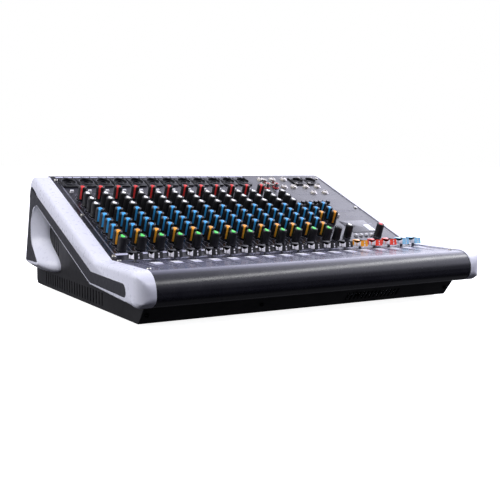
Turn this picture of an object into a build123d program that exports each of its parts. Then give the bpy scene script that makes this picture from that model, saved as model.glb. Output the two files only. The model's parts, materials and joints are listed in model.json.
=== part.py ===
"""Mixing console: a bent steel panel with a sloping control area and a level fader deck, between two
moulded side cheeks with grip openings. Millimetres, +Z up, X along the width, the operator at -Y.
The origin is on the supporting surface under the middle of the console."""

import os
from math import cos, radians, sin, tan

from build123d import *

os.makedirs("parts", exist_ok=True)

# Driving dimensions of the case
WIDTH = 550.0
DEPTH = 467.0
CHEEK_WIDTH = 24.0
CHEEK_PROUD = 1.2
FOOT_HEIGHT = 4.0
DECK_HEIGHT = 73.0
BEND_Y = -96.0
SLOPE_LENGTH = 280.5
SLOPE_DEG = 22.0
PANEL_SHEET = 1.6
CASE_SHEET = 1.5

# Control layout: distances run up the slope from the bend, or along Y on the deck
CHANNEL_PITCH = 28.0
FIRST_CHANNEL_X = -228.0
MONO_CHANNELS = 12
KNOB_PITCH = 17.6
PAN_ROW = 28.0
GAIN_ROW_STEP = 6.0
SOCKET_ROW = 252.0
BUTTON_ROW = 218.0
BUTTON_OFFSET_X = -5.7
SLOT_MIDDLE_Y = -150.0
SLOT_LENGTH = 82.0
SLOT_WIDTH = 2.8
FADER_REST_Y = -118.0

# Controls
KNOB_RADIUS = 6.5
KNOB_HEIGHT = 20.2
KNOB_TAPER_DEG = 1.6
KNOB_LIFT = 0.8
SHAFT_RADIUS = 3.0
SHAFT_HOLE_RADIUS = 3.7
POT_SIZE = (9.8, 11.4, 7.0)
POT_TOP = 2.6
POT_FLOOR = 2.0
SHAFT_END_GAP = 0.6
BUTTON_SIZE = (5.6, 3.8)
BUTTON_CORNER = 0.6
BUTTON_HEIGHT = 4.0
BUTTON_TRAVEL = 1.5
MOVING_GAP = 0.6
CAP_SIZE = (12.0, 24.0, 9.0)
CAP_LIFT = 4.0
CAP_SLANT_DEG = 80.0
VALLEY_RADIUS = 14.5
VALLEY_RISE = 11.0
BLADE_SIZE = (1.2, 5.0)
TRACK_SIZE = (9.0, 92.0, 9.0)
TRACK_WALL = 1.4
BOARD = 1.6

# Connectors
FLANGE_SIZE = (26.0, 31.0, 2.4)
FLANGE_CORNER = 3.0
SOCKET_BARREL_RADIUS = 11.8
SOCKET_DEPTH = 22.0
FIT_GAP = 0.3
JACK_BORE_RADIUS = 3.5
JACK_COLLAR_RADIUS = 4.7
JACK_NUT_RADIUS = 6.0
JACK_NUT_HEIGHT = 2.2
JACK_COLLAR_HEIGHT = 3.2
JACK_BODY = (12.0, 12.0, 20.0)
RCA_RADIUS = 4.2
RCA_HEIGHT = 8.5
RCA_SEAT = (5.8, 1.2)
RCA_DEPTH = 12.0
RCA_CORE_RADIUS = 1.7
RCA_CORE_DEPTH = 9.0

half_panel = WIDTH / 2 - CHEEK_WIDTH
half_depth = DEPTH / 2
board_depth = POT_TOP + POT_SIZE[2]
slope = radians(SLOPE_DEG)
track_floor_z = DECK_HEIGHT - PANEL_SHEET - TRACK_SIZE[2]

SLOPE = Plane(origin=(0, BEND_Y, DECK_HEIGHT), x_dir=(1, 0, 0), z_dir=(0, -sin(slope), cos(slope)))
DECK = Plane.XY.offset(DECK_HEIGHT)


def on_slope(along, depth=0.0):
    """(y, z) of the point this far up the slope and this far below its face."""
    y = BEND_Y + along * cos(slope) + depth * sin(slope)
    z = DECK_HEIGHT + along * sin(slope) - depth * cos(slope)
    return (y, z)


def slope_place(x, along, height=0.0):
    """A location on the slope's face, turned with it."""
    return SLOPE.location * Location((x, along, height))


# ---------------------------------------------------------------- layout of the controls
channel_x = [FIRST_CHANNEL_X + CHANNEL_PITCH * i for i in range(MONO_CHANNELS + 1)]
mono_x = channel_x[:MONO_CHANNELS]
row_s = [PAN_ROW + KNOB_PITCH * i for i in range(9)]
pan_s = row_s[0]
effect_s = row_s[1]
aux_s = row_s[2:6]
eq_s = row_s[6:9]
gain_s = PAN_ROW + KNOB_PITCH * 9 + GAIN_ROW_STEP
strip_rows = {
    "pan": pan_s,
    "effect": effect_s,
    "aux_4": aux_s[0],
    "aux_3": aux_s[1],
    "aux_2": aux_s[2],
    "aux_1": aux_s[3],
    "low": eq_s[0],
    "mid": eq_s[1],
    "high": eq_s[2],
    "gain": gain_s,
}
CENTRED = ("pan", "low", "mid", "high")

MASTER_X = (131.0, 157.0)
MASTER_ROWS = (84.0, 100.0, 118.0)
PHONES_KNOB = (127.0, 29.0)
MONITOR_KNOB = (153.0, 35.0)
MAIN_KNOB = (213.0, 33.0)
MEDIA_BUTTONS = [(171.5 + 10.2 * i, 35.5) for i in range(4)]
MUTE_BUTTON = (185.0, 108.0)
EQ_SLIDERS = [(145.0 + 8.6 * i, 156.0) for i in range(7)]
EQ_SLOT = (2.4, 22.0)
MEDIA_MIDDLE = (200.0, 68.0)
MEDIA_MODULE = (50.0, 42.0, 10.0)
DISPLAY_MIDDLE = (212.0, 57.5)
DISPLAY_SIZE = (21.0, 11.0)
USB_MIDDLE = (189.0, 80.0)
USB_SIZE = (15.0, 7.0)
JACKS = [
    (122.0, 262.0),
    (146.0, 262.0),
    (170.0, 262.0),
    (152.0, 229.0),
    (172.0, 229.0),
    (198.0, 229.0),
    (222.0, 229.0),
    (198.0, 203.0),
    (222.0, 203.0),
]
RCAS = [(119.0, 243.5), (137.0, 243.5), (116.0, 227.0), (134.0, 227.0)]
XLR_OUTPUTS = [(194.0, SOCKET_ROW), (221.5, SOCKET_ROW)]

master_x = [channel_x[-1] + CHANNEL_PITCH * (i + 1) for i in range(3)]
MAIN_FADER_X = (217.0, 241.0)
faders = {f"channel_fader_{i + 1:02d}": x for i, x in enumerate(channel_x)}
faders["effect_fader"] = master_x[0]
faders["group_fader_1"] = master_x[1]
faders["group_fader_2"] = master_x[2]
faders["main_fader_left"] = MAIN_FADER_X[0]
faders["main_fader_right"] = MAIN_FADER_X[1]

moving_knobs = [(channel_x[0], s) for s in strip_rows.values()]
static_knobs = {
    "gain_knobs": [(x, gain_s) for x in mono_x[1:]],
    "eq_knobs": [(x, s) for x in channel_x[1:] for s in eq_s],
    "aux_knobs": [(x, s) for x in channel_x[1:] for s in aux_s],
    "effect_knobs": [(x, effect_s) for x in channel_x[1:]],
    "pan_knobs": [(x, pan_s) for x in channel_x[1:]],
    "master_knobs": [(x, s) for x in MASTER_X for s in MASTER_ROWS]
    + [PHONES_KNOB, MONITOR_KNOB, MAIN_KNOB],
}
all_knobs = moving_knobs + [place for places in static_knobs.values() for place in places]
channel_buttons = [(x + BUTTON_OFFSET_X, BUTTON_ROW) for x in mono_x]
static_buttons = channel_buttons[1:] + MEDIA_BUTTONS + [MUTE_BUTTON]

SCREW_INSET = 7.0
SCREW_X = half_panel - SCREW_INSET
SCREW_ROWS = (12.0, 138.5, 264.0)
DECK_SCREW_Y = (-103.0, -196.0)
screw_places = [slope_place(x, s) for x in (-SCREW_X, SCREW_X) for s in SCREW_ROWS]
screw_places += [Location((x, y, DECK_HEIGHT)) for x in (-SCREW_X, SCREW_X) for y in DECK_SCREW_Y]

# ---------------------------------------------------------------- case outline, seen from the side
NOSE_RADIUS = 24.0
NOSE_CHIN = 40.0
NOSE_UNDER = (-221.0, 30.5)
NOSE_END = (-178.0, 24.5)
BASE_FRONT_Y = -178.5
BASE_FRONT_TOP_Y = -196.5
REAR_FLOOR_RUN = 14.0
REAR_WALL_TOP = 28.0
REAR_SETBACK = 0.5
nose_front = -half_depth + CHEEK_PROUD
panel_line = [
    on_slope(SLOPE_LENGTH),
    (BEND_Y, DECK_HEIGHT),
    (nose_front, DECK_HEIGHT),
    (nose_front, NOSE_CHIN),
    NOSE_UNDER,
    NOSE_END,
]
PANEL_RADII = (3.0, NOSE_RADIUS, 9.0, 12.0)


def nose_under_z(y):
    """Height of the nose's underside at this y."""
    share = (y - NOSE_UNDER[0]) / (NOSE_END[0] - NOSE_UNDER[0])
    return NOSE_UNDER[1] + share * (NOSE_END[1] - NOSE_UNDER[1])


# The front wall of the base leans forward from the floor to the nose's underside
base_front_top = (BASE_FRONT_TOP_Y, nose_under_z(BASE_FRONT_TOP_Y))
base_front_bottom = (BASE_FRONT_Y, FOOT_HEIGHT)
wall_run = base_front_top[0] - BASE_FRONT_Y
wall_rise = base_front_top[1] - FOOT_HEIGHT
FRONT_WALL = Plane(
    origin=(0, BASE_FRONT_Y, FOOT_HEIGHT),
    x_dir=(1, 0, 0),
    z_dir=(0, -wall_rise, wall_run),
)
front_wall_length = (wall_run**2 + wall_rise**2) ** 0.5

rear_top = on_slope(SLOPE_LENGTH - REAR_SETBACK, PANEL_SHEET)
rear_line = [
    (half_depth - REAR_FLOOR_RUN, FOOT_HEIGHT),
    (half_depth, FOOT_HEIGHT),
    (half_depth, REAR_WALL_TOP),
    rear_top,
]
rear_run = rear_top[0] - half_depth
rear_rise = rear_top[1] - REAR_WALL_TOP
rear_length = (rear_run**2 + rear_rise**2) ** 0.5
REAR_SLOPE = Plane(
    origin=(0, half_depth, REAR_WALL_TOP),
    x_dir=(-1, 0, 0),
    z_dir=(0, rear_rise, -rear_run),
)

# ---------------------------------------------------------------- control panel
with BuildPart() as control_panel:
    with BuildSketch(Plane.YZ.offset(-half_panel)):
        with BuildLine():
            FilletPolyline(*panel_line, radius=PANEL_RADII)
            offset(amount=PANEL_SHEET, side=Side.LEFT)
        make_face()
    extrude(amount=2 * half_panel)
    with BuildSketch(SLOPE):
        with Locations(*all_knobs):
            Circle(SHAFT_HOLE_RADIUS)
        with Locations(*[(x, SOCKET_ROW) for x in mono_x], *XLR_OUTPUTS):
            Circle(SOCKET_BARREL_RADIUS + FIT_GAP)
        with Locations(*JACKS):
            Circle(JACK_COLLAR_RADIUS + FIT_GAP)
        with Locations(*RCAS):
            Circle(RCA_RADIUS + FIT_GAP)
        with Locations(*channel_buttons, *MEDIA_BUTTONS, MUTE_BUTTON):
            Rectangle(BUTTON_SIZE[0] + 2 * MOVING_GAP, BUTTON_SIZE[1] + 2 * MOVING_GAP)
        with Locations(*EQ_SLIDERS):
            Rectangle(*EQ_SLOT)
        with Locations(DISPLAY_MIDDLE):
            Rectangle(DISPLAY_SIZE[0] + FIT_GAP, DISPLAY_SIZE[1] + FIT_GAP)
        with Locations(USB_MIDDLE):
            Rectangle(USB_SIZE[0] + FIT_GAP, USB_SIZE[1] + FIT_GAP)
    extrude(amount=2 * PANEL_SHEET, both=True, mode=Mode.SUBTRACT)
    with BuildSketch(DECK):
        with Locations(*[(x, SLOT_MIDDLE_Y) for x in faders.values()]):
            SlotOverall(SLOT_LENGTH, SLOT_WIDTH, rotation=90)
    extrude(amount=2 * PANEL_SHEET, both=True, mode=Mode.SUBTRACT)
control_panel.part.label = "control_panel"

# ---------------------------------------------------------------- rear panel
INLET_PLACE = (190.0, 62.0)
INLET_CUTOUT = (59.0, 28.0)
REAR_VENTS = 16
REAR_VENT_PITCH = 9.0
REAR_VENT_SIZE = (34.0, 3.0)
REAR_VENT_SHARE = 0.62
with BuildPart() as rear_panel:
    with BuildSketch(Plane.YZ.offset(-half_panel)):
        with BuildLine():
            FilletPolyline(*rear_line, radius=(8.0, 3.0))
            offset(amount=CASE_SHEET, side=Side.LEFT)
        make_face()
    extrude(amount=2 * half_panel)
    with BuildSketch(REAR_SLOPE):
        with Locations(INLET_PLACE):
            Rectangle(*INLET_CUTOUT)
        with Locations((0, rear_length * REAR_VENT_SHARE)):
            with GridLocations(REAR_VENT_PITCH, 1, REAR_VENTS, 1):
                SlotOverall(*REAR_VENT_SIZE, rotation=90)
    extrude(amount=2 * CASE_SHEET, both=True, mode=Mode.SUBTRACT)
rear_panel.part.label = "rear_panel"

# ---------------------------------------------------------------- bottom pan with its side walls
SIDE_VENT_PITCH = 11.0
SIDE_VENTS = 23
SIDE_VENT_START_Y = -59.0
SIDE_VENT_Z = (8.5, 27.5)
GRIP_VENTS = 5
GRIP_VENT_START_Y = 122.0
GRIP_VENT_PITCH = 9.5
GRIP_VENT_Z = (46.0, 104.0)
FRONT_VENTS = 14
FRONT_VENT_PITCH = 6.9
FRONT_VENT_END_X = 150.0
FRONT_VENT_SIZE = (15.0, 3.2)
VENT_WIDTH = 3.4
INSIDE_TOP = 200.0
wall_inner_y = base_front_top[0] + CASE_SHEET * front_wall_length / wall_rise
pan_outline = [*rear_line[1:], *panel_line[:-1], base_front_top, base_front_bottom]
PAN_RADII = (8.0, 3.0, 0.0, 0.0, *PANEL_RADII, 0.0, 0.0)
with BuildPart() as bottom_pan:
    with BuildSketch(Plane.YZ.offset(-half_panel)):
        with BuildLine():
            FilletPolyline(*pan_outline, radius=PAN_RADII, close=True)
        make_face()
    extrude(amount=2 * half_panel)
    with BuildSketch(Plane.YZ.offset(-half_panel + CASE_SHEET)):
        with BuildLine():
            Polyline(
                (half_depth + 1, FOOT_HEIGHT + CASE_SHEET),
                (half_depth + 1, INSIDE_TOP),
                (-half_depth, INSIDE_TOP),
                (-half_depth, NOSE_UNDER[1]),
                (wall_inner_y, nose_under_z(wall_inner_y)),
                (BASE_FRONT_Y + CASE_SHEET, FOOT_HEIGHT + CASE_SHEET),
                close=True,
            )
        make_face()
    extrude(amount=2 * (half_panel - CASE_SHEET), mode=Mode.SUBTRACT)
    with BuildSketch(Plane.YZ.offset(-half_panel)):
        with Locations((SIDE_VENT_START_Y + SIDE_VENT_PITCH * (SIDE_VENTS - 1) / 2, sum(SIDE_VENT_Z) / 2)):
            with GridLocations(SIDE_VENT_PITCH, 1, SIDE_VENTS, 1):
                SlotOverall(SIDE_VENT_Z[1] - SIDE_VENT_Z[0], VENT_WIDTH, rotation=90)
        with Locations((GRIP_VENT_START_Y + GRIP_VENT_PITCH * (GRIP_VENTS - 1) / 2, sum(GRIP_VENT_Z) / 2)):
            with GridLocations(GRIP_VENT_PITCH, 1, GRIP_VENTS, 1):
                SlotOverall(GRIP_VENT_Z[1] - GRIP_VENT_Z[0], VENT_WIDTH, rotation=90)
    extrude(amount=2 * half_panel, mode=Mode.SUBTRACT)
    with BuildSketch(FRONT_WALL):
        for i in range(FRONT_VENTS):
            with Locations((FRONT_VENT_END_X - FRONT_VENT_PITCH * i, front_wall_length / 2)):
                SlotOverall(*FRONT_VENT_SIZE, rotation=90)
    extrude(amount=2 * CASE_SHEET, both=True, mode=Mode.SUBTRACT)
    add(control_panel.part, mode=Mode.SUBTRACT)
    add(rear_panel.part, mode=Mode.SUBTRACT)
bottom_pan.part.label = "bottom_pan"

# ---------------------------------------------------------------- side cheeks
BAND_DEPTH = 35.5
RIM = 2.2
INLAY_THICKNESS = 1.2
LOBE_ROUND = 20.0
PROUD_BEND = (BEND_Y - CHEEK_PROUD * tan(slope / 2), DECK_HEIGHT + CHEEK_PROUD)
BAND_BEND = (-77.0, 42.4)
REAR_FOOT = (218.0, 44.8)
REAR_EDGE = (180.4, 162.9)


def band_under(y, lift=0.0):
    """(y, z) on the lower edge of the cheek's sloping band, raised by this much across the band."""
    return (y, DECK_HEIGHT + (y - BEND_Y) * tan(slope) - (BAND_DEPTH - lift) / cos(slope))


rear_edge_slant = (REAR_EDGE[0] - REAR_FOOT[0]) / (REAR_EDGE[1] - REAR_FOOT[1])
crown_z = 183.5
band_outline = [
    PROUD_BEND,
    (-half_depth, DECK_HEIGHT + CHEEK_PROUD),
    (-half_depth, NOSE_CHIN),
    (-222.0, 29.5),
    (-197.0, 37.0),
    BAND_BEND,
    band_under(150.0),
    (186.0, 145.0),
    (REAR_EDGE[0] + (crown_z - REAR_EDGE[1]) * rear_edge_slant, crown_z),
]
BAND_RADII = (8.0, NOSE_RADIUS + CHEEK_PROUD, 9.0, 10.0, 20.0, 6.0, 0.0, 0.0, 18.0)
leg_inner = [
    (160.0, 150.0),
    (160.5, 82.0),
    (134.0, 62.5),
    (110.0, 46.0),
    (110.0, 36.0),
    (158.0, 30.5),
    (203.0, 32.5),
    REAR_FOOT,
    REAR_EDGE,
]
leg_outer = [
    (140.0, 140.0),
    (181.0, 117.5),
    (187.0, 78.0),
    (179.0, 63.0),
    (155.0, 45.0),
    (172.0, 42.5),
    (207.0, 40.8),
    REAR_FOOT,
    REAR_EDGE,
]
inlay_outline = [
    (-82.8, 59.2),
    (-195.5, 57.2),
    (-191.0, 39.7),
    (BAND_BEND[0] - 0.6, BAND_BEND[1] + RIM),
    band_under(154.0, RIM),
    (183.5, 119.0),
    (189.5, 78.5),
    (181.5, 62.5),
    (158.0, 45.9),
    (REAR_FOOT[0] - 2.0, REAR_FOOT[1] + 1.0),
    (REAR_EDGE[0] - 1.5, REAR_EDGE[1] - 1.0),
]
INLAY_RADII = (8.0, 9.0, 3.0, 10.0, 10.0, 9.0, 20.0, 9.0, 1.0, 2.0, 2.0)

with BuildPart() as left_cheek_inlay:
    with BuildSketch(Plane.YZ.offset(-WIDTH / 2)):
        with BuildLine():
            FilletPolyline(*inlay_outline, radius=INLAY_RADII, close=True)
        make_face()
    extrude(amount=INLAY_THICKNESS)
left_cheek_inlay.part.label = "left_cheek_inlay"

with BuildPart() as left_cheek:
    with BuildSketch(Plane.YZ.offset(-WIDTH / 2)):
        with BuildLine():
            FilletPolyline(*band_outline, radius=BAND_RADII, close=True)
        make_face()
    extrude(amount=CHEEK_WIDTH)
    with BuildSketch(Plane.YZ.offset(-WIDTH / 2)) as leg_face:
        with BuildLine():
            Polyline(*leg_outer, close=True)
        make_face()
    with BuildSketch(Plane.YZ.offset(-half_panel)) as leg_root:
        with BuildLine():
            Polyline(*leg_inner, close=True)
        make_face()
    loft([leg_face.sketch, leg_root.sketch], ruled=True)
    with BuildSketch():
        with Locations((LOBE_ROUND / 2 - WIDTH / 2, LOBE_ROUND / 2 - half_depth)):
            Rectangle(LOBE_ROUND, LOBE_ROUND)
        with Locations((LOBE_ROUND - WIDTH / 2, LOBE_ROUND - half_depth)):
            Circle(LOBE_ROUND, mode=Mode.SUBTRACT)
    extrude(amount=2 * DECK_HEIGHT, mode=Mode.SUBTRACT)
    add(left_cheek_inlay.part, mode=Mode.SUBTRACT)
left_cheek.part.label = "left_cheek"

with BuildPart() as right_cheek:
    mirror(left_cheek.part, about=Plane.YZ)
right_cheek.part.label = "right_cheek"

with BuildPart() as right_cheek_inlay:
    mirror(left_cheek_inlay.part, about=Plane.YZ)
right_cheek_inlay.part.label = "right_cheek_inlay"


# ---------------------------------------------------------------- sockets
XLR_CAVITY_RADIUS = 9.6
XLR_CAVITY_DEPTH = 14.0
XLR_PIN_LENGTH = 10.5
XLR_PIN_RADIUS = 1.2
XLR_PIN_CIRCLE = 6.0
XLR_PINS_DEG = (40.0, 140.0, 270.0)
PIN_HOLE_RADIUS = 1.6
PIN_HOLE_CIRCLE = 7.2
PIN_HOLE_DEPTH = 14.0


def flange_and_barrel(hollow_radius, hollow_depth):
    """A square-flanged socket housing on the slope, open at its face."""
    with BuildPart(SLOPE) as housing:
        with BuildSketch(SLOPE):
            RectangleRounded(FLANGE_SIZE[0], FLANGE_SIZE[1], FLANGE_CORNER)
        extrude(amount=FLANGE_SIZE[2])
        with BuildSketch(SLOPE):
            Circle(SOCKET_BARREL_RADIUS)
        extrude(amount=-SOCKET_DEPTH)
        with BuildSketch(SLOPE.offset(FLANGE_SIZE[2])):
            Circle(hollow_radius)
        extrude(amount=-hollow_depth, mode=Mode.SUBTRACT)
    return housing.part


COMBO_RECESS_RADIUS = 10.2
COMBO_RECESS = 2.0
COMBO_JACK_RADIUS = 4.3
COMBO_JACK_DEPTH = 19.0
with BuildPart() as combo_socket:
    add(flange_and_barrel(COMBO_RECESS_RADIUS, COMBO_RECESS))
    with BuildSketch(SLOPE.offset(FLANGE_SIZE[2] - COMBO_RECESS)):
        Circle(COMBO_JACK_RADIUS)
    extrude(amount=-COMBO_JACK_DEPTH, mode=Mode.SUBTRACT)
    with BuildSketch(SLOPE.offset(FLANGE_SIZE[2] - COMBO_RECESS)):
        for turn in XLR_PINS_DEG:
            with PolarLocations(PIN_HOLE_CIRCLE, 1, start_angle=turn):
                Circle(PIN_HOLE_RADIUS)
    extrude(amount=-PIN_HOLE_DEPTH, mode=Mode.SUBTRACT)

with BuildPart() as xlr_output:
    add(flange_and_barrel(XLR_CAVITY_RADIUS, XLR_CAVITY_DEPTH))
    with BuildSketch(SLOPE.offset(FLANGE_SIZE[2] - XLR_CAVITY_DEPTH)):
        for turn in XLR_PINS_DEG:
            with PolarLocations(XLR_PIN_CIRCLE, 1, start_angle=turn):
                Circle(XLR_PIN_RADIUS)
    extrude(amount=XLR_PIN_LENGTH)

with BuildPart() as jack_socket:
    with BuildSketch(SLOPE):
        RegularPolygon(JACK_NUT_RADIUS, 6)
    extrude(amount=JACK_NUT_HEIGHT)
    with BuildSketch(SLOPE.offset(JACK_COLLAR_HEIGHT)):
        Circle(JACK_COLLAR_RADIUS)
    extrude(amount=-JACK_COLLAR_HEIGHT - PANEL_SHEET - FIT_GAP)
    with BuildSketch(SLOPE.offset(-PANEL_SHEET - FIT_GAP)):
        Rectangle(JACK_BODY[0], JACK_BODY[1])
    extrude(amount=-JACK_BODY[2])
    with BuildSketch(SLOPE.offset(JACK_COLLAR_HEIGHT)):
        Circle(JACK_BORE_RADIUS)
    extrude(amount=-JACK_BODY[2], mode=Mode.SUBTRACT)

with BuildPart() as rca_socket:
    with BuildSketch(SLOPE):
        Circle(RCA_SEAT[0])
    extrude(amount=RCA_SEAT[1])
    with BuildSketch(SLOPE.offset(RCA_HEIGHT)):
        Circle(RCA_RADIUS)
    extrude(amount=-RCA_HEIGHT - RCA_DEPTH)
    with BuildSketch(SLOPE.offset(RCA_HEIGHT)):
        Circle(RCA_CORE_RADIUS)
    extrude(amount=-RCA_CORE_DEPTH, mode=Mode.SUBTRACT)


def copies(label, shape, places):
    """One node holding a separate copy of a shape, made at the slope's origin, at each (x, along) place."""
    with BuildPart() as group:
        for x, along in places:
            add(shape.moved(Location((x, along * cos(slope), along * sin(slope)))))
    group.part.label = label
    return group.part


combo_sockets = copies("combo_sockets", combo_socket.part, [(x, SOCKET_ROW) for x in mono_x])
xlr_outputs = copies("xlr_outputs", xlr_output.part, XLR_OUTPUTS)
jack_sockets = copies("jack_sockets", jack_socket.part, JACKS)
rca_sockets = copies("rca_sockets", rca_socket.part, RCAS)

# ---------------------------------------------------------------- circuit boards and what stands on them
CHANNEL_BOARD_S = (10.0, 212.0)
SOCKET_BOARD_S = (238.0, 272.0)
BOARD_X = (-242.0, 242.0)
FADER_BOARD_Y = (-202.0, -102.0)
SOCKET_CUTOUT = 26.0
MODULE_GAP = 0.5


def board(plane, x_range, along_range):
    """A circuit board on a plane, between these X limits and these limits along the plane."""
    with BuildPart(plane) as plate:
        with BuildSketch(plane):
            with Locations((sum(x_range) / 2, sum(along_range) / 2)):
                Rectangle(x_range[1] - x_range[0], along_range[1] - along_range[0])
        extrude(amount=-BOARD)
    return plate.part


with BuildPart() as channel_board:
    add(board(SLOPE.offset(-board_depth), BOARD_X, CHANNEL_BOARD_S))
    with BuildSketch(SLOPE.offset(-board_depth)):
        for x, s in JACKS + RCAS + XLR_OUTPUTS:
            with Locations((x, s)):
                Rectangle(SOCKET_CUTOUT, SOCKET_CUTOUT)
        with Locations(MEDIA_MIDDLE):
            Rectangle(MEDIA_MODULE[0] + 2 * MODULE_GAP, MEDIA_MODULE[1] + 2 * MODULE_GAP)
    extrude(amount=-BOARD, mode=Mode.SUBTRACT)
    add(board(SLOPE.offset(-SOCKET_DEPTH), BOARD_X, SOCKET_BOARD_S))
channel_board.part.label = "channel_board"

with BuildPart() as fader_board:
    add(board(Plane.XY.offset(track_floor_z), BOARD_X, FADER_BOARD_Y))
fader_board.part.label = "fader_board"

with BuildPart() as potentiometers:
    with BuildSketch(SLOPE.offset(-POT_TOP)):
        with Locations(*all_knobs):
            Rectangle(POT_SIZE[0], POT_SIZE[1])
    extrude(amount=-POT_SIZE[2])
    with BuildSketch(SLOPE.offset(-POT_TOP)):
        with Locations(*all_knobs):
            Circle(SHAFT_HOLE_RADIUS)
    extrude(amount=-(POT_SIZE[2] - POT_FLOOR), mode=Mode.SUBTRACT)
potentiometers.part.label = "potentiometers"

with BuildPart() as fader_tracks:
    with BuildSketch(Plane.XY.offset(track_floor_z)):
        with Locations(*[(x, SLOT_MIDDLE_Y) for x in faders.values()]):
            Rectangle(TRACK_SIZE[0], TRACK_SIZE[1])
    extrude(amount=TRACK_SIZE[2])
    with BuildSketch(Plane.XY.offset(track_floor_z + TRACK_WALL)):
        with Locations(*[(x, SLOT_MIDDLE_Y) for x in faders.values()]):
            Rectangle(TRACK_SIZE[0] - 2 * TRACK_WALL, TRACK_SIZE[1] - 2 * TRACK_WALL)
    extrude(amount=TRACK_SIZE[2], mode=Mode.SUBTRACT)
fader_tracks.part.label = "fader_tracks"

# ---------------------------------------------------------------- knobs
POINTER_SIZE = (1.6, 5.0)
POINTER_DEPTH = 0.6


def knob(shaft_depth):
    """A knob at the slope's origin with its pointer up the slope and its shaft reaching this deep."""
    with BuildPart() as made:
        with BuildSketch(SLOPE.offset(KNOB_LIFT)):
            Circle(KNOB_RADIUS)
        extrude(amount=KNOB_HEIGHT, taper=KNOB_TAPER_DEG)
        with BuildSketch(SLOPE.offset(KNOB_LIFT)):
            Circle(SHAFT_RADIUS)
        extrude(amount=-(KNOB_LIFT + shaft_depth))
        with BuildSketch(SLOPE.offset(KNOB_LIFT + KNOB_HEIGHT)):
            with Locations((0, KNOB_RADIUS - POINTER_SIZE[1] / 2)):
                Rectangle(*POINTER_SIZE)
        extrude(amount=-POINTER_DEPTH, mode=Mode.SUBTRACT)
    return made.part


pot_hole_floor = board_depth - POT_FLOOR
resting_knob = knob(pot_hole_floor)
turning_knob = knob(pot_hole_floor - SHAFT_END_GAP)
knob_groups = [copies(label, resting_knob, places) for label, places in static_knobs.items()]
knob_groups += [
    copies(f"channel_1_{name}_knob", turning_knob, [(channel_x[0], s)]) for name, s in strip_rows.items()
]


# ---------------------------------------------------------------- buttons and small sliders
def button(depth):
    """A push button at the slope's origin with its plunger reaching this deep."""
    with BuildPart() as made:
        with BuildSketch(SLOPE.offset(BUTTON_HEIGHT)):
            RectangleRounded(BUTTON_SIZE[0], BUTTON_SIZE[1], BUTTON_CORNER)
        extrude(amount=-(BUTTON_HEIGHT + depth))
    return made.part


push_buttons = copies("push_buttons", button(board_depth), static_buttons)
channel_button = copies(
    "channel_1_button", button(board_depth - BUTTON_TRAVEL - MOVING_GAP), channel_buttons[:1]
)

EQ_CAP = (5.4, 6.4, 5.0)
EQ_CAP_CORNER = 0.8
EQ_CAP_LIFT = 1.0
EQ_BLADE = (1.2, 3.0)
with BuildPart() as equaliser_slider:
    with BuildSketch(SLOPE.offset(EQ_CAP_LIFT)):
        RectangleRounded(EQ_CAP[0], EQ_CAP[1], EQ_CAP_CORNER)
    extrude(amount=EQ_CAP[2])
    with BuildSketch(SLOPE.offset(EQ_CAP_LIFT)):
        Rectangle(*EQ_BLADE)
    extrude(amount=-EQ_CAP_LIFT - board_depth)
equaliser_sliders = copies("equaliser_sliders", equaliser_slider.part, EQ_SLIDERS)


# ---------------------------------------------------------------- faders
def fader(label, x):
    """A fader cap with a finger valley, and the blade that carries it into its track."""
    length, height = CAP_SIZE[1], CAP_SIZE[2]
    with BuildPart() as made:
        with BuildSketch(Plane.YZ.offset(x - CAP_SIZE[0] / 2)):
            with Locations((FADER_REST_Y, DECK_HEIGHT + CAP_LIFT + height / 2)):
                Trapezoid(length, height, CAP_SLANT_DEG)
            with Locations((FADER_REST_Y, DECK_HEIGHT + CAP_LIFT + height + VALLEY_RISE)):
                Circle(VALLEY_RADIUS, mode=Mode.SUBTRACT)
        extrude(amount=CAP_SIZE[0])
        with BuildSketch(Plane.XY.offset(DECK_HEIGHT + CAP_LIFT)):
            with Locations((x, FADER_REST_Y)):
                Rectangle(*BLADE_SIZE)
        extrude(amount=-(CAP_LIFT + PANEL_SHEET + TRACK_SIZE[2] - TRACK_WALL - MOVING_GAP))
    made.part.label = label
    return made.part


fader_parts = [fader(label, x) for label, x in faders.items()]

# ---------------------------------------------------------------- media player module
USB_CAVITY = (12.6, 5.2, 9.0)
MODULE_BOARD = 5.0
WINDOW_PROUD = 0.6
with BuildPart() as media_display:
    with BuildSketch(SLOPE.offset(-PANEL_SHEET)):
        with Locations(MEDIA_MIDDLE):
            Rectangle(MEDIA_MODULE[0], MEDIA_MODULE[1])
    extrude(amount=-MODULE_BOARD)
    with BuildSketch(SLOPE.offset(WINDOW_PROUD)):
        with Locations(DISPLAY_MIDDLE):
            Rectangle(*DISPLAY_SIZE)
    extrude(amount=-WINDOW_PROUD - PANEL_SHEET)
    with BuildSketch(SLOPE.offset(WINDOW_PROUD)):
        with Locations(USB_MIDDLE):
            Rectangle(*USB_SIZE)
    extrude(amount=-WINDOW_PROUD - PANEL_SHEET - MEDIA_MODULE[2])
    with BuildSketch(SLOPE.offset(WINDOW_PROUD)):
        with Locations(USB_MIDDLE):
            Rectangle(USB_CAVITY[0], USB_CAVITY[1])
    extrude(amount=-USB_CAVITY[2], mode=Mode.SUBTRACT)
media_display.part.label = "media_display"

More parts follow.
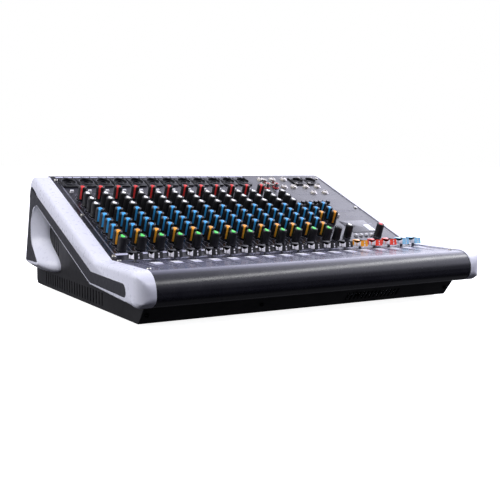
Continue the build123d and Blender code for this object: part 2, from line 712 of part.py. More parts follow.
# ---------------------------------------------------------------- mains inlet, rocker switch and supply
INLET_FLANGE = (67.0, 34.0, 2.5)
INLET_CORNER = 2.0
INLET_PINS = ((-7.0, -2.0), (0.0, 2.0), (7.0, -2.0))
INLET_PIN = (2.0, 4.0, 11.0)
INLET_BODY = (58.0, 27.0, 24.0)
INLET_HOLE = (24.0, 17.0, 18.0)
INLET_HOLE_X = 12.0
ROCKER_WINDOW = (14.0, 21.0)
ROCKER_X = -18.0
ROCKER_POCKET = 13.0
inlet_x, inlet_up = INLET_PLACE
with BuildPart() as power_inlet:
    with BuildSketch(REAR_SLOPE):
        with Locations(INLET_PLACE):
            RectangleRounded(INLET_FLANGE[0], INLET_FLANGE[1], INLET_CORNER)
    extrude(amount=INLET_FLANGE[2])
    with BuildSketch(REAR_SLOPE):
        with Locations(INLET_PLACE):
            Rectangle(INLET_BODY[0], INLET_BODY[1])
    extrude(amount=-INLET_BODY[2])
    with BuildSketch(REAR_SLOPE.offset(INLET_FLANGE[2])):
        with Locations((inlet_x + INLET_HOLE_X, inlet_up)):
            Rectangle(INLET_HOLE[0], INLET_HOLE[1])
    extrude(amount=-INLET_HOLE[2], mode=Mode.SUBTRACT)
    with BuildSketch(REAR_SLOPE.offset(INLET_FLANGE[2])):
        with Locations((inlet_x + ROCKER_X, inlet_up)):
            Rectangle(*ROCKER_WINDOW)
    extrude(amount=-ROCKER_POCKET, mode=Mode.SUBTRACT)
    with BuildSketch(REAR_SLOPE.offset(INLET_FLANGE[2] - INLET_HOLE[2])):
        for across, up in INLET_PINS:
            with Locations((inlet_x + INLET_HOLE_X + across, inlet_up + up)):
                Rectangle(INLET_PIN[0], INLET_PIN[1])
    extrude(amount=INLET_PIN[2])
power_inlet.part.label = "power_inlet"

# The rocker turns about a line along X, this far below the flange's face, and rests with its lower half out
ROCKER_THROW_DEG = 20.0
ROCKER_AXIS_DEPTH = 2.0
ROCKER_SIZE = (12.6, 18.6, 4.5)
ROCKER_HUB = (14.6, 5.0)
ROCKER_CHAMFER = 1.2
rocker_plane = REAR_SLOPE.offset(INLET_FLANGE[2] - ROCKER_AXIS_DEPTH)
rocker_origin = rocker_plane.from_local_coords((inlet_x + ROCKER_X, inlet_up, 0))
ROCKER = Plane(origin=rocker_origin, x_dir=rocker_plane.x_dir, z_dir=rocker_plane.z_dir)
ROCKER = ROCKER.rotated((-ROCKER_THROW_DEG / 2, 0, 0))
with BuildPart() as power_rocker:
    with BuildSketch(ROCKER):
        Rectangle(ROCKER_SIZE[0], ROCKER_HUB[0])
    extrude(amount=-ROCKER_HUB[1])
    with BuildSketch(ROCKER):
        Rectangle(ROCKER_SIZE[0], ROCKER_SIZE[1])
    extrude(amount=ROCKER_SIZE[2])
    chamfer(power_rocker.faces().sort_by(ROCKER.location.z_axis)[-1].edges(), ROCKER_CHAMFER)
power_rocker.part.label = "power_rocker"

SUPPLY_MIDDLE = (150.0, 120.0)
SUPPLY_SIZE = (150.0, 90.0)
STANDOFF_HEIGHT = 6.0
STANDOFF_RADIUS = 3.5
STANDOFF_INSET = 6.0
CAPACITORS = (30.0, -15.0)
CAPACITOR_PITCH = 26.0
CAPACITOR_RADIUS = 9.0
CAPACITOR_HEIGHT = 24.0
HEAT_SINK_X = -45.0
FIN_PITCH = 7.0
FINS = 6
FIN_SIZE = (2.0, 70.0)
FIN_SPINE = (40.0, 4.0)
FIN_HEIGHT = 28.0
floor_z = FOOT_HEIGHT + CASE_SHEET
SUPPLY_BOARD = Plane.XY.offset(floor_z + STANDOFF_HEIGHT)
with BuildPart() as power_supply:
    with BuildSketch(SUPPLY_BOARD):
        with Locations(SUPPLY_MIDDLE):
            Rectangle(*SUPPLY_SIZE)
    extrude(amount=BOARD)
    with BuildSketch(Plane.XY.offset(floor_z)):
        with Locations(SUPPLY_MIDDLE):
            with GridLocations(*[side - 2 * STANDOFF_INSET for side in SUPPLY_SIZE], 2, 2):
                Circle(STANDOFF_RADIUS)
    extrude(amount=STANDOFF_HEIGHT)
    with BuildSketch(SUPPLY_BOARD.offset(BOARD)):
        with Locations((SUPPLY_MIDDLE[0] + CAPACITORS[0], SUPPLY_MIDDLE[1] + CAPACITORS[1])):
            with GridLocations(CAPACITOR_PITCH, CAPACITOR_PITCH, 3, 2):
                Circle(CAPACITOR_RADIUS)
    extrude(amount=CAPACITOR_HEIGHT)
    with BuildSketch(SUPPLY_BOARD.offset(BOARD)):
        with Locations((SUPPLY_MIDDLE[0] + HEAT_SINK_X, SUPPLY_MIDDLE[1])):
            with GridLocations(FIN_PITCH, 1, FINS, 1):
                Rectangle(*FIN_SIZE)
            Rectangle(*FIN_SPINE)
    extrude(amount=FIN_HEIGHT)
power_supply.part.label = "power_supply"

TRANSFORMER_MIDDLE = (0.0, 130.0)
TRANSFORMER_RADIUS = 42.0
TRANSFORMER_HEIGHT = 36.0
TRANSFORMER_ROUND = 8.0
TRANSFORMER_CAP = (28.0, 2.0)
TRANSFORMER_BORE = 4.0
TRANSFORMER_BOLT = (3.0, 42.0)
with BuildPart() as mains_transformer:
    with BuildSketch(Plane.XY.offset(floor_z)):
        with Locations(TRANSFORMER_MIDDLE):
            Circle(TRANSFORMER_RADIUS)
            Circle(TRANSFORMER_BORE, mode=Mode.SUBTRACT)
    extrude(amount=TRANSFORMER_HEIGHT)
    outer_edges = mains_transformer.edges().filter_by(GeomType.CIRCLE).group_by(SortBy.RADIUS)[-1]
    fillet(outer_edges, TRANSFORMER_ROUND)
    with BuildSketch(Plane.XY.offset(floor_z + TRANSFORMER_HEIGHT)):
        with Locations(TRANSFORMER_MIDDLE):
            Circle(TRANSFORMER_CAP[0])
    extrude(amount=TRANSFORMER_CAP[1])
    with BuildSketch(Plane.XY.offset(floor_z)):
        with Locations(TRANSFORMER_MIDDLE):
            Circle(TRANSFORMER_BOLT[0])
    extrude(amount=TRANSFORMER_BOLT[1])
mains_transformer.part.label = "mains_transformer"

# ---------------------------------------------------------------- ribbon cables between the two boards
RIBBON_WIDTH = 26.0
RIBBON_THICKNESS = 1.0
RIBBON_X = (-120.0, 60.0)
RIBBON_DIP_Z = 36.0
RIBBON_BEND = 9.0
RIBBON_GRIP = 1.0
RIBBON_LOW_Y = -122.0
RIBBON_HIGH_S = 44.0
HEADER = (32.0, 9.0, 7.0)
ribbon_low = (RIBBON_LOW_Y, track_floor_z - BOARD)
ribbon_high = on_slope(RIBBON_HIGH_S, board_depth + BOARD)
with BuildPart() as ribbon_cables:
    for x in RIBBON_X:
        with BuildSketch(Plane.YZ.offset(x - RIBBON_WIDTH / 2)):
            with BuildLine():
                FilletPolyline(
                    (ribbon_low[0], ribbon_low[1] - HEADER[2] + RIBBON_GRIP),
                    (ribbon_low[0], RIBBON_DIP_Z),
                    (ribbon_high[0], RIBBON_DIP_Z),
                    (ribbon_high[0], ribbon_high[1] - HEADER[2] + RIBBON_GRIP),
                    radius=RIBBON_BEND,
                )
                offset(amount=RIBBON_THICKNESS, side=Side.LEFT)
            make_face()
        extrude(amount=RIBBON_WIDTH)
        with BuildSketch(Plane.XY.offset(ribbon_low[1])):
            with Locations((x, ribbon_low[0])):
                Rectangle(HEADER[0], HEADER[1])
        extrude(amount=-HEADER[2])
        with BuildSketch(SLOPE.offset(-board_depth - BOARD)):
            with Locations((x, RIBBON_HIGH_S)):
                Rectangle(HEADER[0], HEADER[1])
        extrude(amount=-HEADER[2])
ribbon_cables.part.label = "ribbon_cables"

# ---------------------------------------------------------------- screws and feet
SCREW_HEAD = (3.0, 1.8)
SCREW_ROUND = 0.9
SCREW_CROSS = (3.4, 0.8, 0.9)
with BuildPart() as screw:
    Cylinder(SCREW_HEAD[0], SCREW_HEAD[1], align=(Align.CENTER, Align.CENTER, Align.MIN))
    fillet(screw.edges().group_by(Axis.Z)[-1], SCREW_ROUND)
    with BuildSketch(Plane.XY.offset(SCREW_HEAD[1])):
        Rectangle(SCREW_CROSS[0], SCREW_CROSS[1])
        Rectangle(SCREW_CROSS[1], SCREW_CROSS[0])
    extrude(amount=-SCREW_CROSS[2], mode=Mode.SUBTRACT)

FRONT_SCREW_X = (-243.0, -80.0, 80.0, 243.0)
REAR_SCREW_X = (-240.0, 0.0, 240.0)
REAR_SCREW_INSET = 11.0
REAR_SCREWS = [(x, up) for x in REAR_SCREW_X for up in (REAR_SCREW_INSET, rear_length - REAR_SCREW_INSET)]
screw_places += [FRONT_WALL.location * Location((x, front_wall_length / 2, 0)) for x in FRONT_SCREW_X]
screw_places += [REAR_SLOPE.location * Location((x, up, 0)) for x, up in REAR_SCREWS]
with BuildPart() as case_screws:
    for place in screw_places:
        add(screw.part.moved(place))
case_screws.part.label = "case_screws"

FOOT_RADIUS = 9.0
FOOT_CHAMFER = 0.8
FOOT_PLACES = [(x, y) for x in (-205.0, 205.0) for y in (-138.0, 196.0)]
with BuildPart() as rubber_feet:
    with BuildSketch(Plane.XY):
        with Locations(*FOOT_PLACES):
            Circle(FOOT_RADIUS)
    extrude(amount=FOOT_HEIGHT)
    chamfer(rubber_feet.edges().group_by(Axis.Z)[0], FOOT_CHAMFER)
rubber_feet.part.label = "rubber_feet"

# ---------------------------------------------------------------- write every node
builders = (
    control_panel,
    rear_panel,
    bottom_pan,
    left_cheek,
    left_cheek_inlay,
    right_cheek,
    right_cheek_inlay,
    channel_board,
    fader_board,
    potentiometers,
    fader_tracks,
    media_display,
    power_inlet,
    power_rocker,
    power_supply,
    mains_transformer,
    ribbon_cables,
    case_screws,
    rubber_feet,
)
nodes = [builder.part for builder in builders]
nodes += [combo_sockets, xlr_outputs, jack_sockets, rca_sockets]
nodes += [push_buttons, channel_button, equaliser_sliders]
nodes += knob_groups + fader_parts
for node in nodes:
    export_step(node, f"parts/{node.label}.step")
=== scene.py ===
"""Looks of the mixing console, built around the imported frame.
Shapes are worked out in millimetres in the frame's axes (+X to the operator's right, the operator at -Y, +Z up)
and written to the meshes in metres."""

import json
from math import asin, atan2, cos, hypot, pi, radians, sin, sqrt, tan

import bmesh
import bpy
from mathutils import Matrix, Vector


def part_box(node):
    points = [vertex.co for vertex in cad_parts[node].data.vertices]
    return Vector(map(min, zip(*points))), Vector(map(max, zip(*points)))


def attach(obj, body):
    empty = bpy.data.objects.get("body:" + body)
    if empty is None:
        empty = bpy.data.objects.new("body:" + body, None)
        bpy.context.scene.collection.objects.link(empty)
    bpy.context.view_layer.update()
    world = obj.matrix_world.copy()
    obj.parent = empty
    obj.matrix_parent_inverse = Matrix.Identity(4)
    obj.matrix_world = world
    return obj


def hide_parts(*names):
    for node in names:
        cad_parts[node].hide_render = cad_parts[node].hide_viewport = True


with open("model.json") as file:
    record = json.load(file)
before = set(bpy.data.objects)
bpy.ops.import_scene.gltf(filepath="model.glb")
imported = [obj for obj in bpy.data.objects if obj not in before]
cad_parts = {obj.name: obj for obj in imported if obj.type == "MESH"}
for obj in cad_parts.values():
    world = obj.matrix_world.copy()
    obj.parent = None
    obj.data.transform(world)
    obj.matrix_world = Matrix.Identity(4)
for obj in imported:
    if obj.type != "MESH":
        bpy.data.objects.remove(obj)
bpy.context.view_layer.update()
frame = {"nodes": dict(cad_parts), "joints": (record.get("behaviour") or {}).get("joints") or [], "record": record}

MM = 0.001
record = frame["record"]
joints = {joint["name"]: joint for joint in frame["joints"]}

# ---------------------------------------------------------------- where things are, from the frame
DECK_TOP = 73.0
BEND_Y = -96.0
SLOPE_ANGLE = asin(joints["channel_1_gain_knob_turn"]["axis"][1])
SLOPE = Matrix.Translation((0, BEND_Y, DECK_TOP)) @ Matrix.Rotation(SLOPE_ANGLE, 4, "X")
FROM_SLOPE = SLOPE.inverted()
MONO_CHANNELS = 12


def mm_box(node):
    """A CAD node's lowest and highest corner, in millimetres."""
    low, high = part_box(node)
    return low / MM, high / MM


def on_slope(x, along, height=0.0, turn=0.0):
    """The place on the sloping panel this far up from the bend, turned about the panel's normal."""
    return SLOPE @ Matrix.Translation((x, along, height)) @ Matrix.Rotation(turn, 4, "Z")


def solids(node):
    """The separate solids of a CAD node: a list of lists of points, in millimetres."""
    mesh = frame["nodes"][node].data
    names = [tuple(round(c / MM, 3) for c in v.co) for v in mesh.vertices]
    owner = {name: name for name in names}

    def root(name):
        while owner[name] != name:
            owner[name] = owner[owner[name]]
            name = owner[name]
        return name

    for polygon in mesh.polygons:
        first = root(names[polygon.vertices[0]])
        for index in polygon.vertices[1:]:
            owner[root(names[index])] = first
    groups = {}
    for name in owner:
        groups.setdefault(root(name), []).append(Vector(name))
    return list(groups.values())


def slope_places(node):
    """(x, along) of the middle of each solid of a node that stands on the sloping panel, in reading order."""
    places = []
    for points in solids(node):
        local = [FROM_SLOPE @ p for p in points]
        xs = [p.x for p in local]
        alongs = [p.y for p in local]
        places.append((round((min(xs) + max(xs)) / 2, 2), round((min(alongs) + max(alongs)) / 2, 2)))
    return sorted(places)


# ---------------------------------------------------------------- shapes: (points, faces), closed
def skin(loops):
    """A closed skin over loops with equal numbers of points, with a flat cap at each end."""
    count = len(loops[0])
    points = [Vector(p) for loop in loops for p in loop]
    faces = [list(range(count))[::-1]]
    for ring in range(len(loops) - 1):
        first = ring * count
        for i in range(count):
            j = (i + 1) % count
            faces.append([first + i, first + j, first + count + j, first + count + i])
    faces.append([(len(loops) - 1) * count + i for i in range(count)])
    return points, faces


def tube(loops):
    """A closed skin over loops that come back to the first one, as round a ring."""
    count = len(loops[0])
    points = [Vector(p) for loop in loops for p in loop]
    faces = []
    for ring in range(len(loops)):
        first, after = ring * count, (ring + 1) % len(loops) * count
        for i in range(count):
            j = (i + 1) % count
            faces.append([first + i, first + j, after + j, after + i])
    return points, faces


def circle(radius, height, sides=32, centre=(0.0, 0.0)):
    turns = [2 * pi * i / sides for i in range(sides)]
    return [(centre[0] + radius * cos(t), centre[1] + radius * sin(t), height) for t in turns]


def turned(profile, sides=32):
    """A solid turned from (radius, height) points, capped flat at both ends."""
    return skin([circle(radius, height, sides) for radius, height in profile])


def ring(profile, sides=32):
    """A ring turned from a closed (radius, height) profile."""
    return tube([circle(radius, height, sides) for radius, height in profile])


def fillet(points, radii, step=radians(9)):
    """A closed flat outline with each corner rounded to its radius."""
    outline = []
    for i, corner in enumerate(points):
        here = Vector(corner)
        before = Vector(points[i - 1]) - here
        after = Vector(points[(i + 1) % len(points)]) - here
        radius = radii[i] if hasattr(radii, "__len__") else radii
        half = before.angle(after) / 2
        if radius < 0.01 or abs(half - pi / 2) < 0.001:
            outline.append(here)
            continue
        reach = radius / tan(half)
        start = here + before.normalized() * reach
        end = here + after.normalized() * reach
        centre = here + (before.normalized() + after.normalized()).normalized() * (radius / sin(half))
        sweep = pi - 2 * half
        count = max(2, round(sweep / step))
        a, b = start - centre, end - centre
        for k in range(count + 1):
            share = k / count
            blend = a * sin((1 - share) * sweep) + b * sin(share * sweep)
            outline.append(centre + blend / sin(sweep))
    return outline


def inset(outline, distance):
    """A closed flat outline moved inwards; distance is one number, or one for each point."""
    count = len(outline)
    area = sum(outline[i - 1].cross(outline[i]) for i in range(count))
    side = 1 if area > 0 else -1
    moved = []
    for i, point in enumerate(outline):
        ahead = (outline[(i + 1) % count] - point).normalized()
        behind = (point - outline[i - 1]).normalized()
        normal = Vector((-(ahead.y + behind.y), ahead.x + behind.x)).normalized() * side
        share = max(0.3, Vector((-ahead.y, ahead.x)).dot(normal) * side)
        step = distance[i] if hasattr(distance, "__len__") else distance
        moved.append(point + normal * (step / share))
    return moved


def rectangle(width, length, radius=0.0, centre=(0.0, 0.0)):
    x, y = width / 2, length / 2
    corners = [(centre[0] + a * x, centre[1] + b * y) for a, b in ((-1, -1), (1, -1), (1, 1), (-1, 1))]
    return fillet(corners, radius, radians(22.5))


def level(outline, height):
    return [(p[0], p[1], height) for p in outline]


def slab(outline, low, high, edge=0.0, steps=3):
    """A plate between two heights, with its upper edge rounded."""
    loops = [level(outline, low)]
    if edge == 0:
        return skin([*loops, level(outline, high)])
    for k in range(steps + 1):
        turn = pi / 2 * k / steps
        loops.append(level(inset(outline, edge * (1 - cos(turn))), high - edge * (1 - sin(turn))))
    return skin(loops)


def bar(x, y, width, length, low, high, turn=0.0):
    """A plain thin block, for printed marks."""
    place = Matrix.Rotation(turn, 2)
    corners = [place @ Vector((a * width / 2, b * length / 2)) for a, b in ((-1, -1), (1, -1), (1, 1), (-1, 1))]
    outline = [(x + c.x, y + c.y) for c in corners]
    return skin([level(outline, low), level(outline, high)])


def arc(centre, radius, width, start, end, low, high, steps=20):
    """A thin printed arc, counted from the +Y side towards -X."""
    inner, outer = radius - width / 2, radius + width / 2
    loops = []
    for k in range(steps + 1):
        turn = start + (end - start) * k / steps
        x, y = -sin(turn), cos(turn)
        rim = [(centre[0] + r * x, centre[1] + r * y) for r in (inner, outer)]
        loops.append([(*rim[0], low), (*rim[1], low), (*rim[1], high), (*rim[0], high)])
    return skin(loops)


class Mould:
    """Gathers the closed shapes of one piece before it becomes a mesh."""

    def __init__(self):
        self.points, self.faces, self.paints = [], [], []

    def add(self, shape, paint=0, at=Matrix()):
        points, faces = shape
        first = len(self.points)
        self.points += [at @ Vector(p) for p in points]
        self.faces += [[first + i for i in face] for face in faces]
        self.paints += [paint] * len(faces)
        return self

    def repeat(self, other, at):
        """A copy of another mould's shapes, placed."""
        first = len(self.points)
        self.points += [at @ p for p in other.points]
        self.faces += [[first + i for i in face] for face in other.faces]
        self.paints += other.paints
        return self

    def piece(self, name, materials, body="console", slot=None, replaces=(), sharp=radians(32)):
        mesh = bpy.data.meshes.new(name)
        mesh.from_pydata([p * MM for p in self.points], [], self.faces)
        for material in materials:
            mesh.materials.append(material)
        mesh.polygons.foreach_set("material_index", self.paints)
        work = bmesh.new()
        work.from_mesh(mesh)
        bmesh.ops.recalc_face_normals(work, faces=work.faces)
        work.to_mesh(mesh)
        work.free()
        mesh.shade_smooth()
        mesh.set_sharp_from_angle(angle=sharp)
        thing = bpy.data.objects.new(name, mesh)
        bpy.context.scene.collection.objects.link(thing)
        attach(thing, body)
        if replaces:
            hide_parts(*replaces)
        return thing


# ---------------------------------------------------------------- materials
def srgb(red, green, blue):
    """A colour given as 0 to 255 on screen, as the shader wants it."""

    def linear(value):
        share = value / 255
        return share / 12.92 if share <= 0.04045 else ((share + 0.055) / 1.055) ** 2.4

    return (linear(red), linear(green), linear(blue), 1.0)


class Recipe:
    """A procedural material on one Principled shader; its patterns lie in object space, in metres."""

    def __init__(self, name, **sockets):
        self.material = bpy.data.materials.new(name)
        self.material.use_nodes = True
        self.tree = self.material.node_tree
        self.shader = self.tree.nodes["Principled BSDF"]
        self.place = self.tree.nodes.new("ShaderNodeTexCoord").outputs["Object"]
        for socket, value in sockets.items():
            self.shader.inputs[socket.replace("_", " ")].default_value = value

    def node(self, kind, **values):
        made = self.tree.nodes.new(kind)
        for key, value in values.items():
            if key in made.inputs:
                made.inputs[key].default_value = value
            else:
                setattr(made, key, value)
        return made

    def link(self, source, target):
        self.tree.links.new(source, target)

    def noise(self, grain, detail=3.0, stretch=(1, 1, 1)):
        """Noise whose blotches are about this many millimetres across."""
        mapping = self.node("ShaderNodeMapping")
        mapping.inputs["Scale"].default_value = stretch
        made = self.node("ShaderNodeTexNoise", Scale=1 / (grain * MM), Detail=detail, Roughness=0.55)
        self.link(self.place, mapping.inputs["Vector"])
        self.link(mapping.outputs["Vector"], made.inputs["Vector"])
        return made.outputs["Fac"]

    def span(self, source, low, high, start=0.3, end=0.7):
        made = self.node("ShaderNodeMapRange")
        for socket, value in (("From Min", start), ("From Max", end), ("To Min", low), ("To Max", high)):
            made.inputs[socket].default_value = value
        self.link(source, made.inputs["Value"])
        return made.outputs["Result"]

    def mottle(self, colour, other, grain, detail=3.0, stretch=(1, 1, 1)):
        """The base colour wanders between two colours."""
        ramp = self.node("ShaderNodeValToRGB")
        ramp.color_ramp.elements[0].position = 0.32
        ramp.color_ramp.elements[1].position = 0.68
        ramp.color_ramp.elements[0].color = colour
        ramp.color_ramp.elements[1].color = other
        self.link(self.noise(grain, detail, stretch), ramp.inputs["Fac"])
        self.link(ramp.outputs["Color"], self.shader.inputs["Base Color"])
        return self

    def gloss(self, low, high, grain, detail=2.0, stretch=(1, 1, 1)):
        """The roughness wanders between two values."""
        self.link(self.span(self.noise(grain, detail, stretch), low, high), self.shader.inputs["Roughness"])
        return self

    def blend(self, share, colour):
        """The base colour turns to this one where the share comes to 1."""
        mix = self.node("ShaderNodeMix", data_type="RGBA")
        inputs = [socket for socket in mix.inputs if socket.enabled]
        self.link(share, inputs[0])
        self.link(self.shader.inputs["Base Color"].links[0].from_socket, inputs[1])
        inputs[2].default_value = colour
        self.link([socket for socket in mix.outputs if socket.enabled][0], self.shader.inputs["Base Color"])
        return self

    def bump(self, *layers):
        """Relief from layers of (blotch size, height in millimetres, stretch)."""
        normal = None
        for grain, height, stretch in layers:
            made = self.node("ShaderNodeBump", Strength=1.0, Distance=height * MM)
            self.link(self.noise(grain, 2.0, stretch), made.inputs["Height"])
            if normal:
                self.link(normal, made.inputs["Normal"])
            normal = made.outputs["Normal"]
        self.link(normal, self.shader.inputs["Normal"])
        return self


EVEN = (1, 1, 1)


def powder_coat(name, colour, other, rough=(0.36, 0.46)):
    """Fine-textured powder coat on sheet steel."""
    made = Recipe(name, IOR=1.5)
    made.mottle(colour, other, 14).gloss(*rough, 30)
    made.bump((1.1, 0.006, EVEN), (0.35, 0.002, EVEN))
    return made.material


def panel_coat_with_painted_deck_sheen():
    """Black powder coat on the slope and the nose, with a painted sheen: the base colour turns lighter grey over
    the level fader deck and the top of the nose, standing in for the light they catch.
    """
    made = Recipe("panel_black_painted_deck_sheen", IOR=1.5)
    made.mottle(srgb(28, 28, 36), srgb(34, 34, 42), 14).gloss(0.22, 0.3, 30)
    made.bump((1.1, 0.006, EVEN), (0.35, 0.002, EVEN))
    # painted sheen mask: 1 in front of the bend at the deck's height, where grey is painted in place of the light
    # the deck catches
    split = made.node("ShaderNodeSeparateXYZ")
    made.link(made.place, split.inputs["Vector"])
    before_bend = made.span(split.outputs["Y"], 1.0, 0.0, (BEND_Y - 3) * MM, (BEND_Y + 1) * MM)
    at_top = made.span(split.outputs["Z"], 0.0, 1.0, (DECK_TOP - 4) * MM, (DECK_TOP - 0.5) * MM)
    both = made.node("ShaderNodeMath", operation="MULTIPLY")
    made.link(before_bend, both.inputs[0])
    made.link(at_top, both.inputs[1])
    made.blend(both.outputs["Value"], srgb(92, 92, 110))
    return made.material


def moulded(name, colour, other, rough, relief=0.01, coat=0.0, grain=0.5):
    """Moulded plastic with the fine grain of its mould."""
    made = Recipe(name, IOR=1.48, Coat_Weight=coat, Coat_Roughness=0.08)
    made.mottle(colour, other, 9).gloss(*rough, 6)
    made.bump((grain, relief, EVEN), (12.0, relief * 2, EVEN))
    return made.material


def plated(name, colour, other, rough, stretch=(1, 1, 1)):
    made = Recipe(name, Metallic=1.0)
    made.mottle(colour, other, 3, stretch=stretch).gloss(*rough, 1.5, stretch=stretch)
    made.bump((0.5, 0.006, stretch))
    return made.material


def screw_finish(name, low_colour, high_colour, high_other):
    """Bright screws on top of the case and blackened ones below it, told apart by their height."""
    made = Recipe(name, Metallic=1.0)
    made.mottle(high_colour, high_other, 3).gloss(0.2, 0.34, 1.5)
    split = made.node("ShaderNodeSeparateXYZ")
    made.link(made.place, split.inputs["Vector"])
    made.blend(made.span(split.outputs["Z"], 1.0, 0.0, (DECK_TOP - 10) * MM, (DECK_TOP - 6) * MM), low_colour)
    made.bump((0.5, 0.006, EVEN))
    return made.material


def ink(name, colour, other):
    """Screen-printed ink, slightly uneven in cover."""
    made = Recipe(name, IOR=1.45)
    made.mottle(colour, other, 0.9, 4.0).gloss(0.42, 0.6, 1.5)
    made.bump((0.4, 0.006, EVEN))
    return made.material


PANEL = panel_coat_with_painted_deck_sheen()
CASE = powder_coat("case_black", srgb(20, 20, 22), srgb(25, 25, 27), (0.4, 0.55))
CHEEK = moulded("cheek_white", srgb(226, 227, 242), srgb(228, 229, 243), (0.26, 0.32), 0.001, 0.0, 40.0)
INLAY = moulded("inlay_charcoal", srgb(44, 44, 50), srgb(50, 50, 56), (0.42, 0.55), 0.02, 0.0, 0.7)
KNOB = moulded("knob_black", srgb(13, 13, 17), srgb(18, 18, 22), (0.34, 0.46), 0.01)
STRIPE_RED = moulded("stripe_red", srgb(222, 52, 50), srgb(234, 64, 60), (0.3, 0.42))
STRIPE_WHITE = moulded("stripe_white", srgb(248, 248, 250), srgb(252, 252, 253), (0.3, 0.42))
STRIPE_BLUE = moulded("stripe_blue", srgb(56, 164, 236), srgb(70, 178, 246), (0.3, 0.42))
STRIPE_ORANGE = moulded("stripe_orange", srgb(255, 164, 36), srgb(255, 176, 52), (0.3, 0.42))
STRIPE_GREEN = moulded("stripe_green", srgb(74, 226, 92), srgb(98, 236, 114), (0.3, 0.42))
CAP_BLACK = moulded("cap_black", srgb(12, 12, 17), srgb(17, 17, 23), (0.4, 0.5), 0.004)
CAP_ORANGE = moulded("cap_orange", srgb(255, 164, 28), srgb(255, 176, 44), (0.18, 0.28), 0.004, 0.5)
CAP_RED = moulded("cap_red", srgb(255, 62, 44), srgb(255, 78, 58), (0.18, 0.28), 0.004, 0.5)
CAP_BLUE = moulded("cap_blue", srgb(150, 214, 255), srgb(162, 222, 255), (0.18, 0.28), 0.004, 0.5)
CAP_MARK = moulded("cap_mark", srgb(234, 232, 242), srgb(243, 241, 249), (0.25, 0.35))
BUTTON = moulded("button_white", srgb(226, 226, 232), srgb(236, 236, 240), (0.35, 0.5))
SOCKET = moulded("socket_black", srgb(18, 18, 23), srgb(24, 24, 29), (0.3, 0.42), 0.012)
# near-black for the jack's own dark inside and body, and painted shade for holes and recesses: pin holes, screw
# crosses and the player's socket mouth
SOCKET_DARK_AND_PAINTED_SHADE = moulded("socket_inside_and_painted_shade", srgb(10, 10, 12), srgb(14, 14, 16), (0.5, 0.65))
NICKEL = plated("bright_nickel", srgb(192, 188, 184), srgb(212, 208, 204), (0.12, 0.26))
SCREW_BLACK = plated("screw_black", srgb(58, 58, 64), srgb(78, 78, 84), (0.32, 0.46))
CASE_SCREW = screw_finish("case_screw", srgb(30, 30, 34), srgb(214, 212, 204), srgb(228, 226, 220))
ZINC = plated("zinc_plate", srgb(150, 152, 154), srgb(176, 176, 174), (0.3, 0.5))
PRINT_LILAC = ink("print_lilac", srgb(196, 196, 220), srgb(206, 206, 228))
PRINT_WHITE = ink("print_white", srgb(222, 222, 232), srgb(236, 236, 242))
PRINT_GREY = ink("print_grey", srgb(122, 122, 136), srgb(136, 136, 150))
PHONO_RED = moulded("phono_red", srgb(196, 40, 48), srgb(208, 54, 60), (0.3, 0.4))
PHONO_WHITE = moulded("phono_white", srgb(226, 224, 222), srgb(234, 232, 230), (0.3, 0.4))
RUBBER = moulded("foot_rubber", srgb(24, 24, 24), srgb(31, 31, 31), (0.7, 0.85), 0.03)
BOARD_GREEN = moulded("board_green", srgb(20, 84, 48), srgb(30, 98, 58), (0.25, 0.4))
RIBBON = moulded("ribbon_grey", srgb(140, 140, 146), srgb(160, 160, 164), (0.45, 0.6))
COPPER = moulded("winding_tape", srgb(150, 100, 40), srgb(176, 126, 58), (0.35, 0.5), 0.05)
DISPLAY = moulded("display_window", srgb(206, 210, 226), srgb(224, 228, 238), (0.1, 0.2), 0.002, 0.6)

# ---------------------------------------------------------------- knobs
KNOB_RADIUS = 6.5
KNOB_TOP = 21.0
FLUTES = 18
POINTER_WIDTH = 2.7
MIN_TURN = radians(150)


def fluted(radius, height, depth, sides=72):
    loop = []
    for i in range(sides):
        turn = 2 * pi * i / sides
        groove = depth * (0.5 + 0.5 * cos(FLUTES * turn)) ** 2
        loop.append(((radius - groove) * sin(turn), (radius - groove) * cos(turn), height))
    return loop


def knob_mould():
    """A tall fluted knob with a coloured disc on its top and a coloured stripe from it down one side."""
    mould = Mould()
    foot = [(6.1, 0.8, 0.0), (KNOB_RADIUS, 1.1, 0.0), (KNOB_RADIUS, 2.0, 0.0), (6.2, 2.5, 0.0), (6.15, 3.2, 0.35)]
    crown = [(5.9, -1.6, 0.35), (5.75, -0.8, 0.2), (5.3, -0.25, 0.0), (4.7, 0.0, 0.0), (3.6, -0.3, 0.0)]
    steps = foot + [(radius, KNOB_TOP + drop, depth) for radius, drop, depth in crown]
    mould.add(skin([fluted(*step) for step in steps]), 0)
    disc = [(3.1, -0.8), (3.1, -0.05), (2.8, 0.15), (2.0, 0.22)]
    mould.add(turned([(radius, KNOB_TOP + drop) for radius, drop in disc], 28), 1)
    outer = [(2.4, 0.15), (4.7, 0.15), (5.5, -0.15), (6.0, -0.8), (6.1, -1.6), (6.35, 3.0 - KNOB_TOP)]
    inner = [(2.4, -0.6), (4.4, -0.7), (4.9, -0.9), (5.2, -1.3), (5.25, -1.8), (5.3, 3.0 - KNOB_TOP)]
    half = POINTER_WIDTH / 2
    loops = [
        [(x, radius, KNOB_TOP + drop) for x, (radius, drop) in ((-half, a), (half, a), (half, b), (-half, b))]
        for a, b in zip(outer, inner)
    ]
    mould.add(skin(loops), 1)
    return mould


